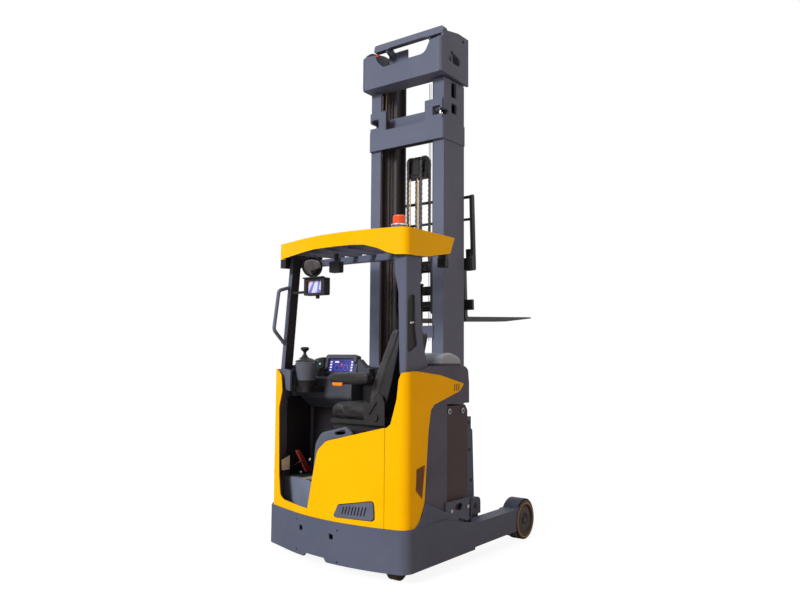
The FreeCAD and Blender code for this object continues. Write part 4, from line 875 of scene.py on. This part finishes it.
# %% Armrest
ARM_SIDE = [
    (-54, 1226), (-30, 1252), (10, 1266), (90, 1272), (300, 1270), (308, 1250), (306, 1208),
    (214, 1192), (60, 1190), (-10, 1202)]
BUTTON_SIDE = [(20, 1182), (98, 1182), (102, 1204), (14, 1204)]
arm_pad = slab(
    "armrest_pad", "y", -22, 28, [ARM_SIDE], seat_vinyl, "truck", 12)
even_grid(arm_pad, 0.005)
blow_up(arm_pad, 0.006)
finish_pad(arm_pad)
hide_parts("armrest")
slab("armrest_pivot", "y", 26, 62, [disc_outline(286, 1226, 18)],
     dark_plastic, "truck", 2)
slab("armrest_button", "y", -29, -14, [BUTTON_SIDE],
     signal_orange, "truck", 3)
print("armrest faces:", len(arm_pad.data.polygons))

# %% [markdown]
# ## Things that repeat
# Bolts, ribs, chain links and stitches all repeat, so Geometry Nodes place them.  Each tree
# is built here with its sizes as named inputs, and its result becomes a plain mesh.


# %% Helpers for Geometry Nodes
def new_tree(name, inputs):
    """A geometry tree with the named inputs; returns it, its nodes, links, in and out."""
    tree = bpy.data.node_groups.new(name, "GeometryNodeTree")
    tree.interface.new_socket("Geometry", in_out="INPUT", socket_type="NodeSocketGeometry")
    tree.interface.new_socket("Geometry", in_out="OUTPUT", socket_type="NodeSocketGeometry")
    for label, kind, value in inputs:
        socket = tree.interface.new_socket(
            label, in_out="INPUT", socket_type="NodeSocket" + kind)
        socket.default_value = value
    start = tree.nodes.new("NodeGroupInput")
    end = tree.nodes.new("NodeGroupOutput")
    return tree, tree.nodes, tree.links, start, end


def put_on(nodes, links, points, instance, rotation, chosen=None):
    """One turned instance on every point, or only on the chosen ones."""
    placed = nodes.new("GeometryNodeInstanceOnPoints")
    links.new(points, placed.inputs["Points"])
    links.new(instance, placed.inputs["Instance"])
    links.new(rotation, placed.inputs["Rotation"])
    if chosen is not None:
        links.new(chosen, placed.inputs["Selection"])
    return placed.outputs[0]


def points_along(nodes, links, start, pivot="AUTO"):
    """Points at every pitch of the path, and the turn that stands Z along it."""
    to_curve = nodes.new("GeometryNodeMeshToCurve")
    links.new(start.outputs["Geometry"], to_curve.inputs["Mesh"])
    even = nodes.new("GeometryNodeResampleCurve")
    even.mode = "LENGTH"
    links.new(to_curve.outputs[0], even.inputs["Curve"])
    links.new(start.outputs["Pitch"], even.inputs["Length"])
    tangent = nodes.new("GeometryNodeInputTangent")
    turned = nodes.new("FunctionNodeAlignRotationToVector")
    turned.axis = "Z"
    turned.pivot_axis = pivot
    links.new(tangent.outputs[0], turned.inputs["Vector"])
    return even.outputs[0], turned.outputs["Rotation"]


def close_tree(nodes, links, geometry, end, finish):
    """Realize Instances and Set Material, then out."""
    real = nodes.new("GeometryNodeRealizeInstances")
    paint_it = nodes.new("GeometryNodeSetMaterial")
    paint_it.inputs["Material"].default_value = finish
    links.new(geometry, real.inputs[0])
    links.new(real.outputs[0], paint_it.inputs["Geometry"])
    links.new(paint_it.outputs[0], end.inputs[0])


def run_tree(piece, tree, values):
    """Gives the tree its values by socket identifier, and returns a plain mesh."""
    step = piece.modifiers.new("repeat", "NODES")
    step.node_group = tree
    for item in tree.interface.items_tree:
        if item.item_type == "SOCKET" and item.in_out == "INPUT" and item.name in values:
            step[item.identifier] = values[item.name]
    graph = bpy.context.evaluated_depsgraph_get()
    mesh = bpy.data.meshes.new_from_object(piece.evaluated_get(graph))
    piece.modifiers.clear()
    return mesh


def from_points(name, points, tree, values, finish, body, facing=None):
    """Runs a tree on a mesh of loose points, or of a chain of edges if facing is None."""
    mesh = bpy.data.meshes.new(name)
    edges = [(k, k + 1) for k in range(len(points) - 1)] if facing is None else []
    mesh.from_pydata([tuple(p) for p in points], edges, [])
    if facing is not None:
        layer = mesh.attributes.new("facing", "FLOAT_VECTOR", "POINT")
        for k in range(len(points)):
            layer.data[k].vector = facing
    carrier = bpy.data.objects.new(name + "_points", mesh)
    bpy.context.scene.collection.objects.link(carrier)
    made = run_tree(carrier, tree, values)
    bpy.data.objects.remove(carrier)
    made.name = name
    return add_piece(name, made, finish, body)


print("Geometry Nodes helpers are ready")


# %% [markdown]
# Bolts: a washer and a hexagonal head, placed on loose points and turned so that the head
# looks along the direction stored at the point.


# %% Bolt heads
bolt_tree, nodes, links, start, end = new_tree("bolt_heads", [
    ("Radius", "Float", 0.008), ("Height", "Float", 0.005), ("Sides", "Int", 6)])
radius, height = start.outputs["Radius"], start.outputs["Height"]
washer = nodes.new("GeometryNodeMeshCylinder")
washer.inputs["Vertices"].default_value = 16
links.new(maths(nodes, links, "MULTIPLY", radius, 1.35), washer.inputs["Radius"])
links.new(maths(nodes, links, "MULTIPLY", height, 0.5), washer.inputs["Depth"])
head_shape = nodes.new("GeometryNodeMeshCylinder")
links.new(start.outputs["Sides"], head_shape.inputs["Vertices"])
links.new(radius, head_shape.inputs["Radius"])
links.new(maths(nodes, links, "MULTIPLY", height, 2.0), head_shape.inputs["Depth"])
both = nodes.new("GeometryNodeJoinGeometry")
links.new(washer.outputs["Mesh"], both.inputs[0])
links.new(head_shape.outputs["Mesh"], both.inputs[0])
points = nodes.new("GeometryNodeMeshToPoints")
links.new(start.outputs["Geometry"], points.inputs["Mesh"])
looks = nodes.new("GeometryNodeInputNamedAttribute")
looks.data_type = "FLOAT_VECTOR"
looks.inputs["Name"].default_value = "facing"
turned = nodes.new("FunctionNodeAlignRotationToVector")
turned.axis = "Z"
links.new(looks.outputs["Attribute"], turned.inputs["Vector"])
placed = put_on(
    nodes, links, points.outputs[0], both.outputs[0], turned.outputs["Rotation"])
close_tree(nodes, links, placed, end, bolt_steel)


def bolts(name, places, way, body, radius, height, finish=dark_bolt, sides=6):
    """Bolt heads at places in construction millimetres, all looking one way."""
    values = {"Radius": radius / 1000, "Height": height / 1000, "Sides": sides}
    points = [spot(*place) for place in places]
    return from_points(name, points, bolt_tree, values, finish, body, way)


print("nodes in the bolt tree:", len(nodes))

# %% [markdown]
# Most bolts come in pairs, one set on either side of the truck.  The hub's five lie on a
# circle round the load wheel's axle, and the drive unit's twelve round its swivel.

# %% Bolts in their places
REARWARD, RIGHTWARD, LEFTWARD, UPWARD = (0, -1, 0), (1, 0, 0), (-1, 0, 0), (0, 0, 1)
SIDE_PLATE_BOLTS = ((840, 900), (1020, 900), (860, 700), (1030, 700), (900, 480), (1050, 480))
for side, word in HANDS:
    ending, way = ("", RIGHTWARD) if side > 0 else ("_left", LEFTWARD)
    bolts("retainer_bolts" + ending, [(side * 631, 471, 368), (side * 631, 674, 369)],
          way, "truck", 10, 5, bright_steel)
    bolts("roller_bolts" + ending, [(side * 500.5, 990, 312)], way, "reach", 16, 6)
    bolts("side_plate_bolts" + ending, [(side * 424.5, y, z) for y, z in SIDE_PLATE_BOLTS],
          way, "reach", 11, 5)
    bolts("hub_bolts" + ending, [(side * 627, y, z) for y, z in disc_outline(1502, 143, 30, 5)],
          way, "load_roll_" + word, 5, 3)
bolts("handle_bolts", [(-588.5, 118, 1866), (-588.5, 98, 1474)], LEFTWARD, "truck", 7, 3)
bolts("drive_bolts", [(x, y, 410) for x, y in disc_outline(60, 190, 110, 12)],
      UPWARD, "drive_steer", 7, 4)

# %% [markdown]
# Slats, ribs and fins are bars that repeat along a straight line.  One tree makes a line of
# points and puts a bar of the given size at each.

# %% Bars in a row
row_tree, nodes, links, start, end = new_tree("bars_in_a_row", [
    ("Count", "Int", 6), ("First", "Vector", (0, 0, 0)), ("Step", "Vector", (0, 0, 0.01)),
    ("Size", "Vector", (0.01, 0.01, 0.01)), ("Turn", "Rotation", (0, 0, 0))])
line = nodes.new("GeometryNodeMeshLine")
links.new(start.outputs["Count"], line.inputs["Count"])
links.new(start.outputs["First"], line.inputs["Start Location"])
links.new(start.outputs["Step"], line.inputs["Offset"])
bar = nodes.new("GeometryNodeMeshCube")
links.new(start.outputs["Size"], bar.inputs["Size"])
placed = put_on(nodes, links, line.outputs[0], bar.outputs["Mesh"], start.outputs["Turn"])
close_tree(nodes, links, placed, end, dark_plastic)


def bars_in_a_row(name, count, first, step, size, finish):
    """Count bars on the truck from a first place, each a step in millimetres further."""
    values = {
        "Count": count, "First": tuple(spot(*first)), "Step": tuple(c / 1000 for c in step),
        "Size": tuple(c / 1000 for c in size)}
    return from_points(
        name, [(0, 0, 0)], row_tree, values, finish, "truck", UPWARD)


bars_in_a_row("lamp_fins", 6, (556, 446, 1992), (0, 0, 9), (50, 10, 3), dark_plastic)
bars_in_a_row("mat_ribs", 8, (-300, 122, 524), (0, 15, 0), (200, 7, 3), mat_brown)
print("nodes in the row tree:", len(nodes))

# %% [markdown]
# ## Lift chains
# A leaf chain is made of many thin plates that pins hold side by side.  Every second set of
# plates lies half a plate further to the side, so that the sets interlock.  The tree resamples
# the path to the pitch and puts one set at every point; each plate is a disc, stretched.

# %% Leaf chain
PLATE_RADIUS, PLATE_STRETCH = 0.0072, 2.1
PLATE_ROWS = ((-0.0085, -0.0017, 0.0051), (-0.0051, 0.0017, 0.0085))
chain_tree, nodes, links, start, end = new_tree("leaf_chain", [
    ("Pitch", "Float", 0.019), ("Plate", "Float", 0.0026)])
points, turned = points_along(nodes, links, start, "X")
index = nodes.new("GeometryNodeInputIndex").outputs[0]
odd = maths(nodes, links, "MODULO", index, 2)
joined = nodes.new("GeometryNodeJoinGeometry")
for parity, shifts in enumerate(PLATE_ROWS):
    group = nodes.new("GeometryNodeJoinGeometry")
    for shift in shifts:
        plate = nodes.new("GeometryNodeMeshCylinder")
        plate.inputs["Vertices"].default_value = 10
        plate.inputs["Radius"].default_value = PLATE_RADIUS
        links.new(start.outputs["Plate"], plate.inputs["Depth"])
        lay = nodes.new("GeometryNodeTransform")
        lay.inputs["Rotation"].default_value = (0, math.pi / 2, 0)
        links.new(plate.outputs["Mesh"], lay.inputs["Geometry"])
        long = nodes.new("GeometryNodeTransform")
        long.inputs["Scale"].default_value = (1, 1, PLATE_STRETCH)
        long.inputs["Translation"].default_value = (shift, 0, 0)
        links.new(lay.outputs[0], long.inputs["Geometry"])
        links.new(long.outputs[0], group.inputs[0])
    operation = "GREATER_THAN" if parity else "LESS_THAN"
    chosen = maths(nodes, links, operation, odd, 0.5)
    placed = put_on(nodes, links, points, group.outputs[0], turned, chosen)
    links.new(placed, joined.inputs[0])
close_tree(nodes, links, joined.outputs[0], end, chain_steel)
print("nodes in the chain tree:", len(nodes))

# %% [markdown]
# Two chains go up behind the free-lift rod, over its pulleys and down in front of it to the
# lift carriage.  Two longer ones stand straight behind the mast's rails.

# %% Four chains
LIFT_MID, PULLEY_Z, CHAIN_BEND = 966.0, 2880.0, 58.0


def over_the_pulley(x):
    """The path of one chain: up behind the rod, over the pulley and down in front of it."""
    turns = [k * math.pi / 16 for k in range(17)]
    arc = [
        spot(x, LIFT_MID - CHAIN_BEND * math.cos(a), PULLEY_Z + CHAIN_BEND * math.sin(a))
        for a in turns]
    behind, before = LIFT_MID - CHAIN_BEND, LIFT_MID + CHAIN_BEND
    return [spot(x, behind, 1962), *arc, spot(x, before, 2124)]


def chain(name, path, body, solid):
    """One leaf chain along a path, in place of a plain strand."""
    strand = from_points(
        name, path, chain_tree, {"Pitch": 0.019}, chain_steel, body)
    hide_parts(solid)
    return strand


for side, word in HANDS:
    short = chain(
        "free_lift_chain_" + word, over_the_pulley(side * 62), "free_lift", "free_lift_chains")
    straight = [spot(side * 211, 895, 302), spot(side * 211, 895, 3484)]
    tall = chain("lift_chain_" + word, straight, "middle_stage", "lift_chains")
    print(word, "chain faces:", len(short.data.polygons), len(tall.data.polygons))

# %% [markdown]
# ## Small parts of the cab
# Round parts are turned like on a lathe: a profile of radius and height goes round an axis.
# Flat parts that lean, such as a display page, are laid out on their own small plane first and
# then leaned as a whole.


# %% Helpers for turned, leaning and bent parts
def lathe(name, profile, centre, finish, body, axis=(0, 0, 1), segments=40):
    """Turns a profile of (radius, height) in millimetres about an axis through a place."""
    shape = bmesh.new()
    rings = []
    for radius, height in profile:
        ring = disc_outline(0, 0, radius, segments if radius else 1)
        rings.append([shape.verts.new((x / 1000, y / 1000, height / 1000)) for x, y in ring])
    for first, second in zip(rings, rings[1:]):
        for k in range(segments):
            corners = [ring[step % len(ring)] for ring, step in (
                (first, k - 1), (first, k), (second, k), (second, k - 1))]
            shape.faces.new(list(dict.fromkeys(corners)))
    for ring in (rings[0], rings[-1]):
        if len(ring) > 1:
            shape.faces.new(ring)
    bmesh.ops.recalc_face_normals(shape, faces=shape.faces)
    stand = Vector(axis).to_track_quat("Z", "Y").to_matrix().to_4x4()
    there = Matrix.Translation(spot(*centre)) @ stand
    bmesh.ops.transform(shape, matrix=there, verts=shape.verts)
    mesh = take_mesh(shape, name)
    shade_smooth(mesh, 35)
    return add_piece(name, mesh, finish, body)


def leaning(name, outlines, depth, centre, lean, finish):
    """Plates on a plane that leans by degrees about X; each outline is a list of (x, z)."""
    shape = bmesh.new()
    for outline in outlines:
        front, back = ([(u / 1000, y / 1000, v / 1000) for u, v in outline] for y in depth)
        join_rings(shape, back, front)
    bmesh.ops.recalc_face_normals(shape, faces=shape.faces)
    tip = Matrix.Translation(spot(*centre)) @ Matrix.Rotation(math.radians(lean), 4, "X")
    bmesh.ops.transform(shape, matrix=tip, verts=shape.verts)
    return add_piece(name, take_mesh(shape, name), finish, "truck")


def pipe(name, places, radius, finish, body, rounded=True):
    """A round pipe through places in millimetres."""
    curve = bpy.data.curves.new(name, "CURVE")
    curve.dimensions = "3D"
    curve.bevel_depth = radius / 1000
    curve.bevel_resolution = 3
    curve.use_fill_caps = True
    route = curve.splines.new("BEZIER" if rounded else "POLY")
    points = route.bezier_points if rounded else route.points
    points.add(len(places) - 1)
    for point, place in zip(points, places):
        point.co = spot(*place) if rounded else (*spot(*place), 1)
        if rounded:
            point.handle_left_type = point.handle_right_type = "AUTO"
    carrier = bpy.data.objects.new(name + "_route", curve)
    bpy.context.scene.collection.objects.link(carrier)
    graph = bpy.context.evaluated_depsgraph_get()
    mesh = bpy.data.meshes.new_from_object(carrier.evaluated_get(graph))
    bpy.data.objects.remove(carrier)
    shade_smooth(mesh)
    return add_piece(name, mesh, finish, body)


def replace_with(solid, *pieces):
    """The pieces stand in for one solid."""
    for piece in pieces:
        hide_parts(solid)


print("turning, leaning and pipe helpers are ready")

# %% [markdown]
# The display leans back by twelve degrees and shows a generic page: a dark blue ground, two
# columns of small keys, a dial ring on each side and a red mark in the middle.  The monitor
# above shows a camera picture as a few pale and blue patches.

# %% Display
DISPLAY, DISPLAY_LEAN = (-238, 362, 1314), -12


def ring_outlines(u, v, radius, width, count=24):
    """Short quads that together make a thin ring."""
    outer, inner = (disc_outline(u, v, r, count) for r in (radius, radius - width))
    return [[outer[k - 1], outer[k], inner[k], inner[k - 1]] for k in range(count)]


def on_display(name, outlines, depth, finish):
    """Marks on the display's page, between two depths before it."""
    return leaning(name, outlines, depth, DISPLAY, DISPLAY_LEAN, finish)


fields = [box_outline(-74, -46, 72, -2), box_outline(-74, 4, 72, 30)]
keys = [box_outline(u, v, u + 16, v + 12) for u in (-108, 90) for v in (-46, -26, -6, 14)]
keys.append(box_outline(-66, 14, -26, 26))
dials = ring_outlines(-40, -22, 22, 3) + ring_outlines(40, -22, 22, 3)
dials.append(box_outline(-12, -42, 14, -38))
on_display("display_page", [box_outline(-118, -53, 114, 41)], (-10, -8), screen_blue)
on_display("display_fields", fields, (-10.6, -9.8), screen_deep)
on_display("display_keys", keys, (-11.2, -10), screen_white)
on_display("display_dials", dials, (-11.2, -10), screen_violet)
mark = [disc_outline(0, 2, 7), box_outline(-4, -14, 4, -9)]
on_display("display_mark", mark, (-11.4, -10), screen_red)
print("keys and fields on the page:", len(keys) + len(fields))

# %% Monitor
MONITOR, MARK_DEPTH = (-300, 150, 1868), (-16.8, -15.6)
picture = [box_outline(-71, -45, 65, 39)]
leaning("monitor_picture", picture, (-16, -13.5), MONITOR, 0, screen_pale)
shadows = [
    [(-71, -45), (-40, -45), (-8, 39), (-22, 39), (-52, -8)],
    [(10, -45), (65, -45), (65, -28), (30, -20), (44, 39), (26, 39)]]
leaning("monitor_shadows", shadows, MARK_DEPTH, MONITOR, 0, screen_violet)
marks = [[(-60, 39), (-71, 39), (-71, 10)], box_outline(-6, -40, 4, -34)]
leaning("monitor_marks", marks, MARK_DEPTH, MONITOR, 0, screen_red)
hood = [[(-98, 58), (98, 58), (98, 66), (-98, 66)]]
leaning("monitor_hood", hood, (-52, -30), MONITOR, 0, dark_plastic)
print("monitor patches:", len(shadows) + len(marks))

# %% [markdown]
# The keypad left of the display has a green light and a turn knob.  The steering head is a
# shallow dish with a rubber boot and a knob like a goblet; a collar closes the gap below it.

# %% Keypad and steering head
lathe("key_light", [(0, 3), (6, 2), (7, 0), (7, -2), (0, -2)], (-430, 330, 1321),
      led_green, "truck", REARWARD, 20)
lathe("key_knob", [(0, 14), (8, 14), (10, 12), (11, 2), (14, 0), (0, 0)], (-416, 330, 1281),
      dark_plastic, "truck", REARWARD, 24)
STEERING_AXIS = (-408, 170, 0)
dish = lathe("steering_dish", [
    (0, 1334), (78, 1334), (84, 1336), (84, 1340), (79, 1344), (60, 1350), (36, 1358),
    (30, 1362), (0, 1364)], STEERING_AXIS, dark_plastic, "steering")
knob = lathe("steering_knob", [
    (0, 1358), (44, 1356), (34, 1364), (22, 1372), (20, 1380), (13, 1386), (10, 1398),
    (13, 1408), (22, 1416), (29, 1423), (31, 1430), (28, 1438), (18, 1442), (0, 1443)],
    (-436, 176, 0), dark_plastic, "steering")
replace_with("steering_wheel", dish, knob)
lathe("steering_collar", [(0, 1326), (77, 1326), (77, 1332.6), (0, 1332.6)], STEERING_AXIS,
      dark_plastic, "truck")
print("faces of the dish and the knob:", len(dish.data.polygons), len(knob.data.polygons))

# %% [markdown]
# The beacon is a ribbed orange lens on a bright ring.  Its profile is worked out rib by rib.

# %% Beacon
BEACON, RIBS = (482, 74, 0), 7
lens_profile = [(0, 2282), (30, 2281), (39, 2276)]
for rib in range(RIBS):
    crest = 2270 - 7 * rib
    lens_profile += [(42.5, crest), (40.5, crest - 3.5)]
lens_profile += [(42, 2222), (0, 2222)]
lens = lathe("beacon_lens", lens_profile, BEACON, beacon_lens, "truck")
ring = lathe("beacon_ring", [
    (0, 2186), (60, 2186), (60, 2196), (52, 2200), (52, 2206), (48, 2208), (48, 2222),
    (0, 2222)], BEACON, beacon_finish, "truck")
rim = lathe("beacon_rim", [(47, 2212), (54, 2212), (54, 2221), (47, 2221)], BEACON,
            bright_steel, "truck")
replace_with("beacon", lens, ring, rim)
print("ribs on the lens:", RIBS)

# %% [markdown]
# The driver's mirror is a convex glass in a bowl that hangs under the roof and looks back at
# the seat.

# %% Mirror
MIRROR, LOOKS_BACK = (-386, 186, 2022), (0.42, -0.86, -0.28)
bowl = lathe("mirror_bowl", [
    (0, -44), (34, -38), (62, -20), (76, -4), (78, 4), (74, 9), (69, 9), (67, 3), (0, 3)],
    MIRROR, dark_plastic, "truck", LOOKS_BACK)
glass = lathe("mirror_glass", [(0, 12), (24, 11), (46, 8), (62, 4), (67, 1), (0, 1)],
              MIRROR, mirror_glass, "truck", LOOKS_BACK)
stem = pipe("mirror_stem", [(-392, 214, 2038), (-398, 222, 2080), (-398, 224, 2110)], 8,
            dark_plastic, "truck")
replace_with("mirror", bowl, glass, stem)
print("mirror glass faces:", len(glass.data.polygons))

# %% [markdown]
# The pedals stand on the floor at the left.  The accelerator is a plate with light rubber
# ribs, and the brake a red bar; both hang on a steel shaft.  The floor mat is black, with a
# ribbed tread on the side where the operator steps in.

# %% Pedals
PAD = [(75, 565), (152, 562), (153, 671), (69, 644)]
TREADS = 7


def along_pad(share, height):
    """A (y, z) on the accelerator: share across it, height up it, both from 0 to 1."""
    low = [PAD[0][k] + (PAD[1][k] - PAD[0][k]) * share for k in (0, 1)]
    high = [PAD[3][k] + (PAD[2][k] - PAD[3][k]) * share for k in (0, 1)]
    return tuple(low[k] + (high[k] - low[k]) * height for k in (0, 1))


def on_pedals(name, low, high, outlines, finish, bevel):
    """A pedal part between two places across the truck, in millimetres."""
    return slab(name, "x", low, high, outlines, finish, "truck", bevel)


ribs = []
for number in range(TREADS):
    left, right = (number + 0.12) / TREADS, (number + 0.78) / TREADS
    corners = ((left, 0.04), (right, 0.04), (right, 0.96), (left, 0.96))
    ribs.append([along_pad(share, height) for share, height in corners])
HEEL = [(78, 522), (168, 522), (160, 540), (130, 560), (92, 566)]
BRAKE = [(170, 702), (206, 702), (340, 541), (274, 539)]
plate = on_pedals("accelerator_plate", -556, -546, [PAD], dark_plastic, 2)
tread = on_pedals("accelerator_ribs", -547, -542, ribs, accelerator_rubber, 1)
heel = on_pedals("accelerator_heel", -560, -540, [HEEL], dark_plastic, 3)
brake = on_pedals("brake_pedal", -512, -496, [BRAKE], brake_red, 3)
shaft = pipe("pedal_shaft", [(-566, 214, 590), (-490, 214, 622)], 6,
             bright_steel, "truck", rounded=False)
replace_with("pedals", plate, tread, heel, brake, shaft)
bolts("pedal_screws", [(-384, 190, 645), (-471, 190, 550)], REARWARD, "truck", 8, 4,
      bright_steel)
print("ribs on the accelerator:", len(ribs))

# %% Floor mat
MAT = [(-583, 104), (-480, 172), (-310, 104), (-206, 40), (-94, 6), (-94, 398), (-583, 398)]
mat = slab("floor_mat", "z", 520, 524, [MAT], dark_plastic, "truck", 1)
print("mat faces:", len(mat.data.polygons))

# %% [markdown]
# ## Covers and openings
# The skirt rises behind the yellow corner into a small fin.  The louvre in the corner is a dark
# grille whose upright slots are thin dark strips, painted shade for the openings, and three slots
# of the horn in the tip of the panel are dark plates of painted shade too.  The pillar's window
# looks into the casting, whose inside is a dark lining of painted shade, and a dark screen of
# painted shade lies behind the tow holes.

# %% Fins and louvres on both sides
FIN = [
    (72, 334), (108, 356), (138, 388), (158, 436), (168, 456), (182, 462), (204, 452),
    (392, 378), (560, 312), (560, 290), (72, 300)]
LOUVRE = [(175, 700), (91, 682), (74, 554), (144, 492)]
SLOT_YS, HORN_YS = (84, 98, 112, 126, 140), (516, 542, 568)


def on_side(name, side, inner, outer, outlines, finish, bevel=0.0):
    """Outlines of (y, z) on one side of the truck, between two distances from its middle."""
    return slab(name, "x", side * inner, side * outer, outlines, finish, "truck", bevel)


slots = []
for y in SLOT_YS:
    foot, crest = 574 - 0.9 * (y - 74), 678 + 0.25 * (y - 82)
    slots.append([(y - 3, foot), (y + 2, foot - 4), (y + 12, crest + 2), (y + 7, crest)])
horn = [[(y - 6, 1150), (y + 4, 1150), (y + 10, 1196), (y, 1196)] for y in HORN_YS]
for side, word in HANDS:
    on_side("skirt_fin_" + word, side, 621.5, 629, [FIN], slate_paint, 3)
    on_side("louvre_" + word, side, 614, 621.9, [LOUVRE], louvre_brown)
    # the slots are thin dark strips laid on the grille and on the panel: painted shade for the
    # openings
    on_side("louvre_slot_shade_" + word, side, 621.5, 622.6, slots, dark_plastic)
    on_side("horn_slot_shade_" + word, side, 614, 621.6, horn, dark_plastic)
print("slots on each side:", len(slots) + len(horn))

# %% Linings and screens of painted shade behind openings
WINDOW = [(27, 1713), (45, 1757), (103, 1768), (109, 1543), (131, 1447), (49, 1403), (27, 1416)]
catches = [box_outline(60, 1581, 80, 1594), box_outline(86, 1584, 104, 1596)]
# a dark lining in the pillar's window: painted shade for the casting's inside
on_side("pillar_window_shade", 1, 572, 578, [WINDOW], dark_plastic)
on_side("pillar_catch", 1, 577, 583, catches, bright_steel, 1)
# a dark screen behind the tow holes: painted shade for the chassis' inside
slab("tow_hole_shade", "y", -38, -34, [box_outline(-250, 110, 150, 318)],
     dark_plastic, "truck")
for side, word in HANDS:
    # a dark plate behind each slot in the mast head's cheeks: painted shade for the head's inside
    low, high = sorted((side * 302, side * 310))
    slab("cheek_slot_shade_" + word, "x", low, high, [box_outline(1018, 3500, 1090, 3712)],
         dark_plastic, "middle_stage", 1)
bracket = slab("lamp_bracket", "y", 454, 486, [box_outline(530, 2046, 582, 2072)],
               dark_plastic, "truck", 2)
print("lamp bracket faces:", len(bracket.data.polygons))

# %% [markdown]
# Two bolts hold each side of the battery cover; their bright rims frame a dark socket.

# %% Battery bolts
BATTERY_BOLTS = ((491, 1015), (656, 1012))
for side, word in HANDS:
    way = RIGHTWARD if side > 0 else LEFTWARD
    rims = [(side * 600.5, y, z) for y, z in BATTERY_BOLTS]
    sockets = [(side * 603, y, z) for y, z in BATTERY_BOLTS]
    bolts("battery_rims_" + word, rims, way, "truck", 14, 2, bright_steel, 24)
    bolts("battery_sockets_" + word, sockets, way, "truck", 8, 1, dark_bolt, 24)
print("battery bolts on each side:", len(BATTERY_BOLTS))

# %% [markdown]
# ## Tie plate and pipes on the mast
# The middle stage has a slate tie plate above the outer beam.  Two brass-coloured pipes feed
# the free-lift rod's head, two thin steel lines run down beside the right rail, and a short
# hose comes out of the pulley head on the left.

# %% Tie plate and mast pipes
slab("middle_tie", "y", 880, 890, [box_outline(-262, 3128, 262, 3262)],
     mast_paint, "middle_stage", 2)
for side, word in HANDS:
    pipe("lift_pipe_" + word, [(side * 34, 900, 1985), (side * 34, 900, 2752)], 4.5,
         brass, "free_lift", rounded=False)
for number, x in enumerate((146, 160)):
    pipe("steel_line_%d" % number, [(x, 897, 1500), (x, 897, 3476)], 2,
         dark_bolt, "middle_stage", rounded=False)
pipe("head_hose", [(-240, 866, 3530), (-247, 866, 3470), (-251, 866, 3400), (-252, 866, 3335)],
     5, brass, "middle_stage")
slab("head_stop", "y", 718, 738, [box_outline(-243, 3722, -221, 3742)],
     signal_red, "middle_stage", 3)

# %% [markdown]
# ## Stitches
# The covers of the seat are sewn: short stitches follow the edge of each pad.  A path is laid
# beside the pad and pulled onto its blown surface first.  The tree then resamples it to the
# stitch length and turns one small rounded stitch along it at every point.

# %% Stitches
stitch_tree, nodes, links, start, end = new_tree("stitches", [
    ("Pitch", "Float", 0.009), ("Thread", "Float", 0.0013)])
points, turned = points_along(nodes, links, start)
stitch = nodes.new("GeometryNodeMeshCylinder")
stitch.inputs["Vertices"].default_value = 6
links.new(start.outputs["Thread"], stitch.inputs["Radius"])
length = maths(nodes, links, "MULTIPLY", start.outputs["Pitch"], 0.62)
links.new(length, stitch.inputs["Depth"])
placed = put_on(nodes, links, points, stitch.outputs["Mesh"], turned)
close_tree(nodes, links, placed, end, seam_thread)


def sew(name, pad, places):
    """Stitches through places in millimetres, pulled onto the pad's surface."""
    form = bmesh.new()
    form.from_mesh(pad.data)
    surface_of = BVHTree.FromBMesh(form)
    form.free()
    path = []
    for first, second in zip(places, places[1:]):
        for step in range(12):
            guess = spot(*first).lerp(spot(*second), step / 12)
            found, facing, _, _ = surface_of.find_nearest(guess)
            path.append(found + facing * 0.0004)
    values = {"Pitch": 0.009, "Thread": 0.0013}
    return from_points(name, path, stitch_tree, values, seam_thread, "truck")


CUSHION_SEAM = ((-70, 1058), (60, 1068), (215, 1062))
BACK_SEAM = ((256, 1110), (300, 1270), (366, 1400), (430, 1528))
ARM_SEAM = [(-40, -24, 1240), (60, -30, 1252), (200, -30, 1256), (300, -26, 1250)]
sewn = [sew("arm_seam", arm_pad, ARM_SEAM)]
for word, cushion_y, back_y in (("right", 84, 84), ("left", 366, 364)):
    path = [(x, cushion_y, z) for x, z in CUSHION_SEAM]
    sewn.append(sew("cushion_seam_" + word, cushion, path))
    path = [(x, back_y, z) for x, z in BACK_SEAM]
    sewn.append(sew("back_seam_" + word, back_pad, path))
print("stitches, in faces:", [len(seam.data.polygons) for seam in sewn])

# %% Sizes and the end
low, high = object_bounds()
